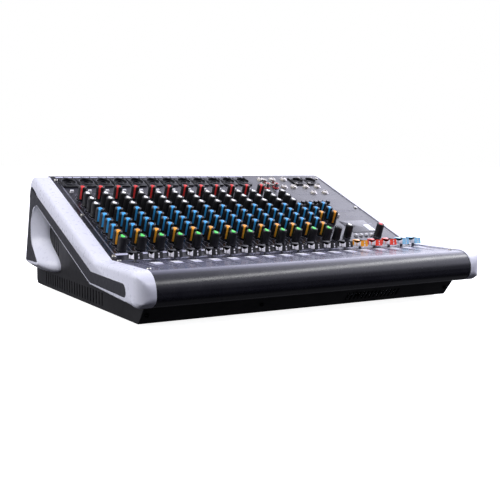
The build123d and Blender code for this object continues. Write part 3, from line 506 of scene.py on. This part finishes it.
knob = knob_mould()
KNOB_STRIPES = {
    "gain": (STRIPE_RED, MIN_TURN),
    "high": (STRIPE_WHITE, 0.0),
    "mid": (STRIPE_WHITE, 0.0),
    "low": (STRIPE_WHITE, 0.0),
    "aux_1": (STRIPE_BLUE, MIN_TURN),
    "aux_2": (STRIPE_BLUE, MIN_TURN),
    "aux_3": (STRIPE_BLUE, MIN_TURN),
    "aux_4": (STRIPE_BLUE, MIN_TURN),
    "effect": (STRIPE_ORANGE, MIN_TURN),
    "pan": (STRIPE_GREEN, 0.0),
}
KNOB_GROUPS = {
    "gain_knobs": "gain",
    "eq_knobs": "high",
    "aux_knobs": "aux_1",
    "effect_knobs": "effect",
    "pan_knobs": "pan",
}
knob_places = []


def knob_piece(node, paint, turn, body="console"):
    mould = Mould()
    for x, along in slope_places(node):
        mould.repeat(knob, on_slope(x, along, turn=turn))
        knob_places.append((x, along))
    mould.piece(node + "_look", [KNOB, paint], body, "knob_black", [node])


for name, (paint, turn) in KNOB_STRIPES.items():
    node = f"channel_1_{name}_knob"
    knob_piece(node, paint, turn, node)
for node, name in KNOB_GROUPS.items():
    knob_piece(node, *KNOB_STRIPES[name])

master_knobs = Mould()
MASTER_PAINTS = [KNOB, STRIPE_BLUE, STRIPE_ORANGE, STRIPE_WHITE, STRIPE_RED]
for x, along in slope_places("master_knobs"):
    knob_places.append((x, along))
    first = len(master_knobs.paints)
    if along > 95:
        stripe, turn = 1, MIN_TURN
    elif along > 60:
        stripe, turn = 2, MIN_TURN
    elif x > 190:
        stripe, turn = 4, 0.0
    elif x > 140:
        stripe, turn = 3, 0.0
    else:
        stripe, turn = 0, 0.0
    master_knobs.repeat(knob, on_slope(x, along, turn=turn))
    for i in range(first, len(master_knobs.paints)):
        master_knobs.paints[i] *= stripe
master_knobs.piece("master_knobs_look", MASTER_PAINTS, slot="knob_black", replaces=["master_knobs"])

# ---------------------------------------------------------------- fader caps
CAP_WIDTH = 12.0
CAP_LENGTH = 24.0
CAP_HEIGHT = 9.0
CAP_LIFT = 4.0
VALLEY_RADIUS = 14.5
VALLEY_RISE = 11.0
CAP_LEAN = radians(10)
BLADE_LOW = -11.4


def valley_height(y):
    """Height of the cap's top at this distance from its middle."""
    rim = VALLEY_RADIUS**2 - y * y
    return min(CAP_HEIGHT, CAP_HEIGHT + VALLEY_RISE - sqrt(rim)) if rim > 0 else CAP_HEIGHT


def side_profile(margin=0.0, start=None, end=None, low=0.0, steps=14):
    """(y, z) outline of the cap seen from the side, or of a plate on it that keeps a margin to its edges."""
    reach = CAP_LENGTH / 2 - margin
    left = -reach if start is None else start
    right = reach if end is None else end
    outline = [(left, low), (right, low)]
    for k in range(steps + 1):
        y = right + (left - right) * k / steps
        lean = CAP_HEIGHT * tan(CAP_LEAN)
        y_top = max(-reach + lean, min(reach - lean, y)) if start is None else y
        outline.append((y_top, valley_height(y_top) - margin))
    return [Vector(p) for p in outline]


def cap_mould():
    """A glossy cap with a finger valley, pale plates on its long sides and a pale line on each end."""
    mould = Mould()
    edge = 0.7
    profile = side_profile()
    loops = []
    for k in range(4):
        turn = pi / 2 * k / 3
        outline = inset(profile, edge * (1 - sin(turn)))
        loops.append([(-CAP_WIDTH / 2 + edge * (1 - cos(turn)), y, z) for y, z in outline])
    loops += [[(-p[0], p[1], p[2]) for p in loop] for loop in reversed(loops)]
    mould.add(skin(loops), 0)
    for side in (-1, 1):
        for start, end in ((-9.6, -0.7), (0.7, 6.2)):
            plate = side_profile(0.9, start, end, 0.4)
            x = side * (CAP_WIDTH / 2 - 0.5), side * (CAP_WIDTH / 2 + 0.12)
            mould.add(skin([[(x[0], y, z) for y, z in plate], [(x[1], y, z) for y, z in plate]]), 1)
    floor = valley_height(0.0)
    mould.add(skin([level(rectangle(9.6, 1.1), floor - 0.6), level(rectangle(9.6, 1.1), floor + 0.12)]), 1)
    for end in (-1, 1):
        for low, high in ((1.2, 3.9), (5.2, 7.2)):
            loops = []
            for out in (-0.5, 0.12):
                ys = [end * (CAP_LENGTH / 2 - z * tan(CAP_LEAN) + out) for z in (low, high)]
                loops.append([(-0.9, ys[0], low), (0.9, ys[0], low), (0.9, ys[1], high), (-0.9, ys[1], high)])
            mould.add(skin(loops), 1)
    mould.add(skin([level(rectangle(1.2, 5.0), BLADE_LOW), level(rectangle(1.2, 5.0), 0.4)]), 2)
    return mould


cap = cap_mould()
CAP_PAINTS = {"channel": (CAP_BLACK, "fader_black"), "effect": (CAP_ORANGE, "fader_orange")}
CAP_PAINTS.update({"group": (CAP_RED, "fader_red"), "main": (CAP_BLUE, "fader_blue")})
faders = [node for node in frame["nodes"] if "fader_" in node and node not in ("fader_tracks", "fader_board")]
fader_x = []
for node in sorted(set(faders) | {"effect_fader"}):
    low, high = mm_box(node)
    paint, slot = CAP_PAINTS[node.split("_")[0]]
    place = Matrix.Translation(((low.x + high.x) / 2, (low.y + high.y) / 2, DECK_TOP + CAP_LIFT))
    Mould().repeat(cap, place).piece(node + "_look", [paint, CAP_MARK, ZINC], node, slot, [node])
    fader_x.append((low.x + high.x) / 2)
fader_x.sort()

# ---------------------------------------------------------------- buttons and the small equaliser's sliders
def button_mould(width, length, height):
    return Mould().add(slab(rectangle(width, length, 0.6), -3.0, height, 0.5))


button = button_mould(5.2, 3.6, 3.8)
pad = button_mould(4.2, 5.0, 3.0)
for node in ("push_buttons", "channel_1_button"):
    mould = Mould()
    for x, along in slope_places(node):
        mould.repeat(pad if x > 165 and along < 60 else button, on_slope(x, along))
    body = node if node == "channel_1_button" else "console"
    mould.piece(node + "_look", [BUTTON], body, "button_white", [node])

sliders = Mould()
slider_places = slope_places("equaliser_sliders")
for x, along in slider_places:
    at = on_slope(x, along)
    sliders.add(slab(rectangle(5.2, 6.2, 0.8), 1.0, 6.0, 0.6), 0, at)
    sliders.add(bar(0, 0, 5.0, 0.8, 5.6, 6.1), 1, at)
    sliders.add(bar(0, 0, 1.2, 3.0, -8.0, 1.2), 2, at)
sliders.piece("equaliser_sliders_look", [SOCKET, PRINT_LILAC, ZINC], slot="button_white", replaces=["equaliser_sliders"])


# ---------------------------------------------------------------- sockets
FLANGE = (26.0, 31.0, 2.4)
FLANGE_CORNER = 3.0
RIM_SIDES = 64


def even_outline(width, length, radius, sides=RIM_SIDES):
    """A rounded rectangle as evenly turned points, to match a circle's."""
    loop = []
    for i in range(sides):
        turn = 2 * pi * i / sides
        x, y = cos(turn), sin(turn)
        reach = min(width / 2 / max(abs(x), 1e-6), length / 2 / max(abs(y), 1e-6))
        px, py = x * reach, y * reach
        cx, cy = width / 2 - radius, length / 2 - radius
        if abs(px) > cx and abs(py) > cy:
            sx, sy = (1 if x > 0 else -1), (1 if y > 0 else -1)
            ox, oy = sx * cx, sy * cy
            along = x * ox + y * oy
            reach = along + sqrt(max(0.0, along * along - (ox * ox + oy * oy - radius * radius)))
            px, py = x * reach, y * reach
        loop.append((px, py))
    return loop


def flange_loops(top, hollow, lip):
    """Loops from a flange's underside over its rounded edge to a raised round lip and down to a hollow."""
    width, length, _ = FLANGE
    outline = even_outline(width, length, FLANGE_CORNER)
    inner = even_outline(width - 0.9, length - 0.9, FLANGE_CORNER - 0.4)
    loops = [level(outline, 0.0), level(outline, top - 0.5), level(inner, top)]
    loops += [circle(lip + 1.0, top, RIM_SIDES), circle(lip + 0.8, top + 0.7, RIM_SIDES)]
    loops += [circle(lip, top + 0.9, RIM_SIDES), circle(hollow, top + 0.6, RIM_SIDES)]
    return loops


def screw_shapes(radius, height):
    """A pan head with a cross of two shallow dark bars."""
    dome = [(radius, 0.0), (radius, height * 0.45), (radius * 0.85, height * 0.85), (radius * 0.5, height)]
    return turned(dome, 20)


def combo_mould():
    """A combined microphone and jack input: flange, lip, recessed face with three pin holes painted as dark discs
    of shade, jack and latch.
    """
    mould = Mould()
    loops = flange_loops(2.4, 10.4, 11.2)
    loops += [circle(10.2, 0.6, RIM_SIDES), circle(5.4, 0.6, RIM_SIDES), circle(5.2, 1.3, RIM_SIDES)]
    loops += [circle(4.5, 1.5, RIM_SIDES), circle(4.3, -15.0, RIM_SIDES)]
    mould.add(skin(loops), 0)
    mould.add(turned([(11.8, -22.0), (11.8, -16.0), (11.8, 0.1)], 40), 0)
    mould.add(ring([(8.6, 0.5), (9.1, 0.5), (9.1, 0.95), (8.6, 0.95)], 48), 0)
    for degrees in (40.0, 140.0, 270.0):
        place = Matrix.Translation((7.2 * cos(radians(degrees)), 7.2 * sin(radians(degrees)), 0))
        mould.add(ring([(0.9, 0.2), (1.7, 0.2), (1.7, 0.8), (1.35, 0.85)], 18), 0, place)
        # painted shade: a dark disc inside each pin ring stands in for the hole
        mould.add(turned([(1.3, 0.3), (1.3, 0.66)], 18), 1, place)
    mould.add(slab(rectangle(7.6, 3.6, 0.8, (0.0, 12.6)), 1.0, 3.9, 0.6), 0)
    mould.add(turned([(4.25, -14.0), (4.25, -6.0)], 24), 1)
    for x, y in ((9.8, 12.4), (-9.8, -12.4)):
        place = Matrix.Translation((x, y, 2.3))
        mould.add(screw_shapes(2.1, 1.1), 2, place)
        # painted shade: two dark bars stand in for the screw's recessed cross
        mould.add(bar(0, 0, 2.6, 0.5, 0.8, 1.14, pi / 5), 1, place)
        mould.add(bar(0, 0, 0.5, 2.6, 0.8, 1.14, pi / 5), 1, place)
    return mould


def output_mould():
    """A microphone-type output: flange, deep round cavity with three pins and a key."""
    mould = Mould()
    loops = flange_loops(2.4, 9.8, 10.6)
    loops += [circle(9.6, -10.8, RIM_SIDES), circle(2.0, -11.0, RIM_SIDES)]
    mould.add(skin(loops), 0)
    mould.add(turned([(11.8, -22.0), (11.8, -16.0), (11.8, 0.1)], 40), 0)
    for degrees in (40.0, 140.0, 270.0):
        place = Matrix.Translation((6.0 * cos(radians(degrees)), 6.0 * sin(radians(degrees)), 0))
        mould.add(turned([(1.2, -11.5), (1.2, -1.6), (0.9, -0.9), (0.5, -0.7)], 16), 2, place)
    mould.add(slab(rectangle(3.0, 1.8, 0.3, (0.0, -8.9)), -10.8, 1.0, 0.3), 0)
    for x, y in ((9.8, 12.4), (-9.8, -12.4)):
        place = Matrix.Translation((x, y, 2.3))
        mould.add(screw_shapes(2.1, 1.1), 2, place)
        # painted shade: two dark bars stand in for the screw's recessed cross
        mould.add(bar(0, 0, 2.6, 0.5, 0.8, 1.14, pi / 5), 1, place)
        mould.add(bar(0, 0, 0.5, 2.6, 0.8, 1.14, pi / 5), 1, place)
    return mould


def jack_mould():
    """A quarter-inch jack: washer, chamfered nut, threaded collar, dark bore and its body under the panel."""
    mould = Mould()
    mould.add(ring([(4.0, 0.0), (6.6, 0.0), (6.6, 0.35), (6.3, 0.5), (4.0, 0.5)], 40), 1)
    hexagon = [circle(r, z, 6) for r, z in ((6.0, 0.4), (6.0, 1.8), (5.5, 2.3), (4.4, 2.35))]
    mould.add(skin(hexagon), 1)
    collar = [(3.5, -1.0), (4.7, -1.0), (4.7, 1.9), (4.45, 2.1), (4.7, 2.3), (4.45, 2.5), (4.7, 2.7)]
    collar += [(4.5, 3.0), (4.2, 3.2), (3.7, 3.2), (3.5, 3.0)]
    mould.add(ring(collar, 36), 1)
    mould.add(ring([(3.1, -16.0), (3.55, -16.0), (3.55, 2.7), (3.1, 2.4)], 28), 0)
    mould.add(turned([(3.3, -17.0), (3.3, -15.0)], 24), 0)
    mould.add(slab(rectangle(12.0, 12.0, 0.5), -21.5, -1.9), 0)
    return mould


def phono_mould(paint):
    """A phono socket: coloured seat and core, bright barrel with a hole."""
    mould = Mould()
    mould.add(turned([(5.8, 0.0), (5.8, 0.9), (5.4, 1.2), (4.3, 1.25)], 36), paint)
    barrel = [(3.3, 0.5), (4.2, 0.5), (4.2, 8.1), (3.9, 8.5), (3.5, 8.5), (3.3, 8.3)]
    mould.add(ring(barrel, 36), 1)
    mould.add(ring([(1.7, 0.6), (3.35, 0.6), (3.35, 7.9), (1.9, 7.9), (1.7, 7.7)], 28), paint)
    mould.add(turned([(4.2, -12.0), (4.2, -0.2)], 28), 0)
    return mould


def socket_group(node, moulds, materials, slot):
    """One piece for a node of sockets; the moulds are used in turn."""
    mould = Mould()
    places = slope_places(node)
    for i, (x, along) in enumerate(places):
        mould.repeat(moulds[i % len(moulds)], on_slope(x, along))
    mould.piece(node + "_look", materials, slot=slot, replaces=[node])
    return places


combo_places = socket_group("combo_sockets", [combo_mould()], [SOCKET, SOCKET_DARK_AND_PAINTED_SHADE, SCREW_BLACK], "socket_black")
socket_group("xlr_outputs", [output_mould()], [SOCKET, SOCKET_DARK_AND_PAINTED_SHADE, NICKEL], "socket_black")
socket_group("jack_sockets", [jack_mould()], [SOCKET_DARK_AND_PAINTED_SHADE, NICKEL], "bright_metal")
phonos = [phono_mould(3), phono_mould(2)]
socket_group("rca_sockets", phonos, [SOCKET, NICKEL, PHONO_WHITE, PHONO_RED], "socket_black")

# ---------------------------------------------------------------- side cheeks
CHEEK_OUTER = -275.0
CHEEK_INNER = -251.0
BAND_DEPTH = 35.5
PROUD = 1.2
NOSE_Y = -233.5
CROWN_Z = 183.5


def band_under(y, lift=0.0):
    """(y, z) on the lower edge of the sloping band, raised by this much across it."""
    return (y, DECK_TOP + (y - BEND_Y) * tan(SLOPE_ANGLE) - (BAND_DEPTH - lift) / cos(SLOPE_ANGLE))


BAND_CORNERS = [
    ((BEND_Y - PROUD * tan(SLOPE_ANGLE / 2), DECK_TOP + PROUD), 10.0),
    ((NOSE_Y, DECK_TOP + PROUD), 26.0),
    ((NOSE_Y, 39.0), 11.0),
    ((-219.0, 29.3), 10.0),
    ((-196.0, 35.6), 26.0),
    ((-77.0, 42.4), 6.0),
    (band_under(150.0), 0.0),
    ((186.0, 145.0), 0.0),
    ((173.9, CROWN_Z), 20.0),
]


LOBE_ROUND = 20.0
TOP_ROUND, UNDER_ROUND, NOSE_ROUND = 5.0, 1.2, 10.0
CHEEK_SECTIONS = (24.0, 20.0, 16.5, 13.0, 10.0, 7.5, 5.5, 4.0, 2.8, 1.8, 1.0, 0.4, 0.0)


def edge_round(y, z):
    """Radius of the cheek's rounded outer edge: small along the lower edge, until it comes to the nose."""
    under = z < DECK_TOP - 25 + max(0.0, y - BEND_Y) * tan(SLOPE_ANGLE)
    front = min(1.0, max(0.0, (-190.0 - y) / 25))
    return UNDER_ROUND + (NOSE_ROUND - UNDER_ROUND) * front * front * (3 - 2 * front) if under else TOP_ROUND


def cut_back(radius, depth):
    """How far a rounded edge stands back from the corner, this deep from the outer face."""
    return radius - sqrt(radius**2 - (radius - depth) ** 2) if depth < radius else 0.0


def cheek_mould(side):
    """side is 1 for the left cheek and -1 for the right one."""
    mould = Mould()
    outline = fillet([c[0] for c in BAND_CORNERS], [c[1] for c in BAND_CORNERS], radians(5))
    rounds = [edge_round(*p) for p in outline]
    loops = []
    for depth in CHEEK_SECTIONS:
        moved = inset(outline, [cut_back(radius, depth) for radius in rounds])
        front = NOSE_Y + cut_back(LOBE_ROUND, depth)
        loops.append([(side * (CHEEK_OUTER + depth), max(y, front), z) for y, z in moved])
    mould.add(skin(loops), 0)
    mould.add(leg_skin(side), 0)
    return mould


LEG_PAIRS = [
    # on the outer face, on the case's side wall
    ((132.0, 139.0), (134.0, 139.0)),
    ((143.5, 132.6), (143.0, 130.0)),
    ((152.5, 132.6), (149.0, 124.0)),
    ((161.5, 128.6), (154.0, 117.0)),
    ((169.5, 121.6), (158.5, 107.0)),
    ((175.5, 111.0), (160.5, 97.0)),
    ((178.8, 97.0), (161.0, 89.0)),
    ((178.8, 81.0), (159.0, 80.8)),
    ((173.5, 70.0), (149.5, 72.3)),
    ((165.0, 61.2), (137.0, 65.0)),
    ((156.0, 54.4), (125.0, 58.2)),
    ((149.5, 49.2), (114.0, 50.0)),
    ((148.0, 44.8), (110.5, 42.0)),
    ((152.5, 42.6), (115.5, 35.8)),
    ((165.0, 42.0), (138.0, 31.6)),
    ((186.0, 42.0), (170.0, 29.8)),
    ((203.0, 42.4), (196.0, 29.8)),
    ((210.5, 44.2), (212.0, 33.0)),
    ((212.5, 48.0), (216.5, 42.0)),
    ((207.0, 66.0), (211.0, 60.0)),
    ((197.5, 96.0), (200.5, 94.0)),
    ((187.5, 127.0), (189.5, 127.0)),
    ((177.0, 160.0), (179.0, 160.0)),
    ((158.0, 158.0), (160.0, 158.0)),
]


def spline(points, per_span=5):
    """A smooth closed curve through the points."""
    made = []
    count = len(points)
    for i in range(count):
        a, b, c, d = (Vector(points[(i + k) % count]) for k in (-1, 0, 1, 2))
        for k in range(per_span):
            t = k / per_span
            made.append(
                b
                + (c - a) * (t / 2)
                + (a * 2 - b * 5 + c * 4 - d) * (t * t / 2)
                + (b * 3 - a - c * 3 + d) * (t * t * t / 2)
            )
    return made


def leg_skin(side):
    """The rear leg, whose front side is a smooth scoop from the outer face in to the case's side wall."""
    outer = spline([pair[0] for pair in LEG_PAIRS])
    inner = spline([pair[1] for pair in LEG_PAIRS])
    loops = []
    edge = 0.8
    for k in range(3):
        turn = pi / 2 * k / 3
        moved = inset(outer, edge * (1 - sin(turn)))
        loops.append([(side * (CHEEK_OUTER + edge * (1 - cos(turn))), y, z) for y, z in moved])
    steps = 12
    start = CHEEK_OUTER + edge
    for k in range(steps + 1):
        share = k / steps
        ease = 1 - (1 - share) ** 1.6
        x = side * (start + (CHEEK_INNER - start) * share)
        loops.append([(x, *(a.lerp(b, ease))) for a, b in zip(outer, inner)])
    return skin(loops)


INLAY_CORNERS = [
    ((-82.8, 59.4), 8.0),
    ((-196.0, 57.2), 9.0),
    ((-200.5, 40.6), 6.0),
    ((-77.6, 44.6), 9.0),
    (band_under(146.0, 2.2), 6.0),
    ((166.0, 130.2), 14.0),
    ((180.6, 108.0), 30.0),
    ((181.2, 76.0), 24.0),
    ((150.6, 47.0), 1.5),
    ((209.8, 45.2), 3.0),
    ((175.8, 160.5), 2.0),
]


def inlay_mould(side):
    outline = fillet([c[0] for c in INLAY_CORNERS], [c[1] for c in INLAY_CORNERS], radians(6))
    low, high, edge = 1.0, 0.28, 0.28
    loops = [[(side * (CHEEK_OUTER + low), y, z) for y, z in outline]]
    loops.append([(side * CHEEK_OUTER, y, z) for y, z in outline])
    loops.append([(side * (CHEEK_OUTER - high), y, z) for y, z in inset(outline, edge)])
    return Mould().add(skin(loops), 0)


for name, side in (("left", 1), ("right", -1)):
    cheek_mould(side).piece(f"{name}_cheek_look", [CHEEK], slot="cheek_white", replaces=[f"{name}_cheek"])
    inlay_node = f"{name}_cheek_inlay"
    inlay_mould(side).piece(inlay_node + "_look", [INLAY], slot="inlay_charcoal", replaces=[inlay_node])

# ---------------------------------------------------------------- media player
def media_mould(low, high):
    """A dark front with a pale display window on its right and a socket mouth on its left, painted as a dark patch
    of shade with a tongue on it.
    """
    width, length = high.x - low.x, high.y - low.y
    middle = ((low.x + high.x) / 2, (low.y + high.y) / 2)
    mould = Mould().add(slab(rectangle(width, length, 1.5, middle), low.z, high.z, 0.5), 0, SLOPE)
    window = (low.x + width * 0.82, middle[1] - length * 0.16)
    mould.add(slab(rectangle(width * 0.24, length * 0.5, 0.8, window), high.z - 0.3, high.z + 0.3, 0.2), 1, SLOPE)
    port = (low.x + width * 0.2, middle[1])
    # painted shade: a dark patch stands in for the socket's open mouth
    mould.add(slab(rectangle(13.0, 5.6, 0.4, port), high.z - 0.3, high.z + 0.35, 0.2), 2, SLOPE)
    mould.add(slab(rectangle(11.6, 2.2, 0.2, port), high.z - 0.2, high.z + 0.45, 0.1), 0, SLOPE)
    return mould


media = [FROM_SLOPE @ p for points in solids("media_display") for p in points]
media_low, media_high = (Vector([pick(p[k] for p in media) for k in range(3)]) for pick in (min, max))
media_piece = media_mould(media_low, media_high)
media_piece.piece("media_display_look", [PANEL, DISPLAY, SOCKET_DARK_AND_PAINTED_SHADE], slot="display_window", replaces=["media_display"])

# ---------------------------------------------------------------- printing on the panel
INK_LOW, INK_HIGH = -0.06, 0.08
channel_x = [x for x, _ in combo_places]
CHANNEL_PITCH = (channel_x[-1] - channel_x[0]) / (len(channel_x) - 1)
all_channel_x = channel_x + [channel_x[-1] + CHANNEL_PITCH]
LILAC, WHITE, GREY = 0, 1, 2
print_mould = Mould()


def slope_bar(x, along, width, length, paint, turn=0.0):
    print_mould.add(bar(x, along, width, length, INK_LOW, INK_HIGH, turn), paint, SLOPE)


def deck_bar(x, y, width, length, paint):
    print_mould.add(bar(x, y, width, length, DECK_TOP + INK_LOW, DECK_TOP + INK_HIGH), paint)


def dial(x, along):
    """A knob's scale: an arc with eleven ticks."""
    sweep = radians(150)
    print_mould.add(arc((x, along), 8.0, 0.45, -sweep, sweep, INK_LOW, INK_HIGH), GREY, SLOPE)
    for k in range(11):
        turn = sweep * (k - 5) / 5
        print_mould.add(bar(0, 8.7, 0.45, 1.3, INK_LOW, INK_HIGH), GREY, on_slope(x, along, turn=turn))


for place in knob_places:
    dial(*place)
for x in channel_x:
    for k in (-1, 1):
        slope_bar(x + k * CHANNEL_PITCH / 4, 275.6, 12.6, 3.6, LILAC)
    slope_bar(x - CHANNEL_PITCH / 2, 128, 0.7, 232, GREY)
    for k, width in enumerate((6.0, 8.0, 5.0)):
        slope_bar(x - 4 + 4 * k, 206.5 + k, width / 3, 0.9, GREY)
        slope_bar(x + 3 - 3 * k, 211.5, width / 3, 0.9, GREY)
for x in all_channel_x:
    slope_bar(x - 3, 17.0, 18.0, 5.0, LILAC)
    slope_bar(x + 9.0, 17.0, 4.5, 5.0, WHITE)
    for along in (36.8, 54.4, 72.0, 89.6, 107.2, 124.8, 142.4, 160.0, 180.0):
        slope_bar(x + 11.0, along, 3.0, 0.8, GREY)

MASTER_LEFT, MASTER_RIGHT = 121.0, 243.0
for along in (214.0, 209.5):
    slope_bar(135.0, along, 22.0, 1.0, LILAC)
for along in (124.5, 128.5):
    slope_bar(194.0, along, 76.0, 0.8, GREY)
for along in (196.0, 67.0):
    slope_bar((MASTER_LEFT + MASTER_RIGHT) / 2, along, MASTER_RIGHT - MASTER_LEFT, 0.6, GREY)
for k in range(7):
    slope_bar(172.0 + 10 * k, 104.0, 5.0, 0.9, GREY)
    slope_bar(176.0 + 9 * k, 76.0, 6.0, 0.9, LILAC)
slope_bar(246.5, 140, 0.7, 262, GREY)

SLOT_SPAN = (-191.0, -109.0)
for i, x in enumerate(fader_x):
    gap = (fader_x[i + 1] if i + 1 < len(fader_x) else x + 24) - x
    width = min(13.0, gap * 0.46)
    deck_bar(x + gap * 0.73, -138.0, width, 14.0, WHITE)
    deck_bar(x + gap * 0.62, -152.0, width * 0.9, 8.0, LILAC)
    deck_bar(x + gap * 0.86, -101.0, gap * 0.38, 3.4, LILAC)
    for k in range(11):
        y = SLOT_SPAN[0] + 6 + 7.0 * k
        deck_bar(x + 5.6, y, 3.6 if k % 2 == 0 else 2.2, 0.55, GREY)
        deck_bar(x - 5.6, y, 3.6 if k % 2 == 0 else 2.2, 0.55, GREY)
slope_bar(-241.0, 140, 0.7, 262, GREY)
print_mould.piece("panel_print", [PRINT_LILAC, PRINT_WHITE, PRINT_GREY], slot="painted_black")

# ---------------------------------------------------------------- CAD nodes that keep their own shape
NODE_PAINTS = {
    "control_panel": PANEL,
    "rear_panel": CASE,
    "bottom_pan": CASE,
    "channel_board": BOARD_GREEN,
    "fader_board": BOARD_GREEN,
    "power_supply": BOARD_GREEN,
    "potentiometers": ZINC,
    "fader_tracks": ZINC,
    "power_inlet": SOCKET,
    "power_rocker": SOCKET,
    "mains_transformer": COPPER,
    "ribbon_cables": RIBBON,
    "case_screws": CASE_SCREW,
    "rubber_feet": RUBBER,
}
for node, paint in NODE_PAINTS.items():
    thing = frame["nodes"][node]
    thing.data.materials.clear()
    thing.data.materials.append(paint)

# ---------------------------------------------------------------- camera, floor and light
CAMERA_PLACE = Vector((-0.6499, -1.1067, 0.1987))
CAMERA_YAW = radians(30.96)
CAMERA_DIP = radians(5.88)
CAMERA_ROLL = radians(0.30)
ahead = Vector((sin(CAMERA_YAW) * cos(CAMERA_DIP), cos(CAMERA_YAW) * cos(CAMERA_DIP), -sin(CAMERA_DIP)))
right = Vector((cos(CAMERA_YAW), -sin(CAMERA_YAW), 0))
up = right.cross(ahead)
across = right * cos(CAMERA_ROLL) + up * sin(CAMERA_ROLL)
upward = up * cos(CAMERA_ROLL) - right * sin(CAMERA_ROLL)
camera_data = bpy.data.cameras.new("camera")
camera_data.lens = 60.25
camera_data.sensor_width = 36.0
camera = bpy.data.objects.new("camera", camera_data)
turned_to = Matrix((across, upward, -ahead)).transposed().to_4x4()
camera.matrix_world = Matrix.Translation(CAMERA_PLACE) @ turned_to
bpy.context.scene.collection.objects.link(camera)
bpy.context.scene.camera = camera


def floor_material():
    made = Recipe("floor_pale", Roughness=0.9, IOR=1.3, Emission_Strength=0.92)
    made.shader.inputs["Emission Color"].default_value = (1, 1, 1, 1)
    made.mottle((0.86, 0.86, 0.86, 1), (0.88, 0.88, 0.88, 1), 300)
    return made.material


floor_mesh = bpy.data.meshes.new("floor")
reach = 40.0
floor_mesh.from_pydata([(-reach, -reach, 0), (reach, -reach, 0), (reach, reach, 0), (-reach, reach, 0)], [], [(0, 1, 2, 3)])
floor_mesh.materials.append(floor_material())
floor = bpy.data.objects.new("floor", floor_mesh)
bpy.context.scene.collection.objects.link(floor)
floor.visible_glossy = False
floor.visible_diffuse = False


def lamp(name, place, target, size, power, turn=0.0):
    data = bpy.data.lights.new(name, "AREA")
    data.shape = "RECTANGLE"
    data.size, data.size_y = size
    data.energy = power
    thing = bpy.data.objects.new(name, data)
    thing.location = place
    thing.rotation_euler = (Vector(target) - Vector(place)).to_track_quat("-Z", "Y").to_euler()
    thing.rotation_euler.z += turn
    bpy.context.scene.collection.objects.link(thing)


lamp("softbox_above", (-0.9, 0.2, 1.9), (0, 0, 0), (1.6, 1.6), 13)
lamp("strip_in_front", (1.4, -1.15, 1.9), (1.4, -1.15, 0), (2.6, 0.5), 36, radians(53))
lamp("softbox_left", (-2.0, 0.1, 0.9), (0, 0, 0.1), (1.4, 1.4), 26)


def studio_world():
    """White all round for the camera; for the light it gives, bright above and behind, dim below and in front."""
    world = bpy.data.worlds.new("studio")
    bpy.context.scene.world = world
    world.use_nodes = True
    tree = world.node_tree
    nodes, links = tree.nodes, tree.links
    nodes.clear()
    direction = nodes.new("ShaderNodeTexCoord").outputs["Generated"]
    split = nodes.new("ShaderNodeSeparateXYZ")
    links.new(direction, split.inputs["Vector"])

    def ramp(source, low, high, low_value, high_value):
        made = nodes.new("ShaderNodeMapRange")
        made.interpolation_type = "SMOOTHSTEP"
        values = (("From Min", low), ("From Max", high), ("To Min", low_value), ("To Max", high_value))
        for socket, value in values:
            made.inputs[socket].default_value = value
        links.new(source, made.inputs["Value"])
        return made.outputs["Result"]

    def product(first, second):
        made = nodes.new("ShaderNodeMath")
        made.operation = "MULTIPLY"
        links.new(first, made.inputs[0])
        links.new(second, made.inputs[1])
        return made.outputs["Value"]

    above_floor = ramp(split.outputs["Z"], -0.10, 0.06, 0.05, 1.0)
    behind_low = ramp(split.outputs["Y"], -0.5, 0.35, 0.15, 1.0)
    behind_high = ramp(split.outputs["Y"], -0.5, 0.35, 0.6, 1.0)
    low = product(ramp(split.outputs["Z"], 0.15, 0.42, 1.0, 0.0), ramp(split.outputs["X"], 0.2, 0.8, 0.8, 1.9))
    high = product(ramp(split.outputs["Z"], 0.15, 0.42, 0.0, 1.0), ramp(split.outputs["X"], 0.3, 0.75, 0.4, 4.0))
    given = nodes.new("ShaderNodeBackground")
    given.inputs["Color"].default_value = (0.85, 0.85, 1.0, 1.0)
    both = nodes.new("ShaderNodeMath")
    links.new(product(low, behind_low), both.inputs[0])
    links.new(product(high, behind_high), both.inputs[1])
    links.new(product(above_floor, both.outputs["Value"]), given.inputs["Strength"])
    seen = nodes.new("ShaderNodeBackground")
    seen.inputs["Color"].default_value = (1.0, 1.0, 1.0, 1.0)
    seen.inputs["Strength"].default_value = 1.0
    mix = nodes.new("ShaderNodeMixShader")
    links.new(nodes.new("ShaderNodeLightPath").outputs["Is Camera Ray"], mix.inputs["Fac"])
    links.new(given.outputs["Background"], mix.inputs[1])
    links.new(seen.outputs["Background"], mix.inputs[2])
    output = nodes.new("ShaderNodeOutputWorld")
    links.new(mix.outputs["Shader"], output.inputs["Surface"])


studio_world()
bpy.context.scene.view_settings.view_transform = "Standard"
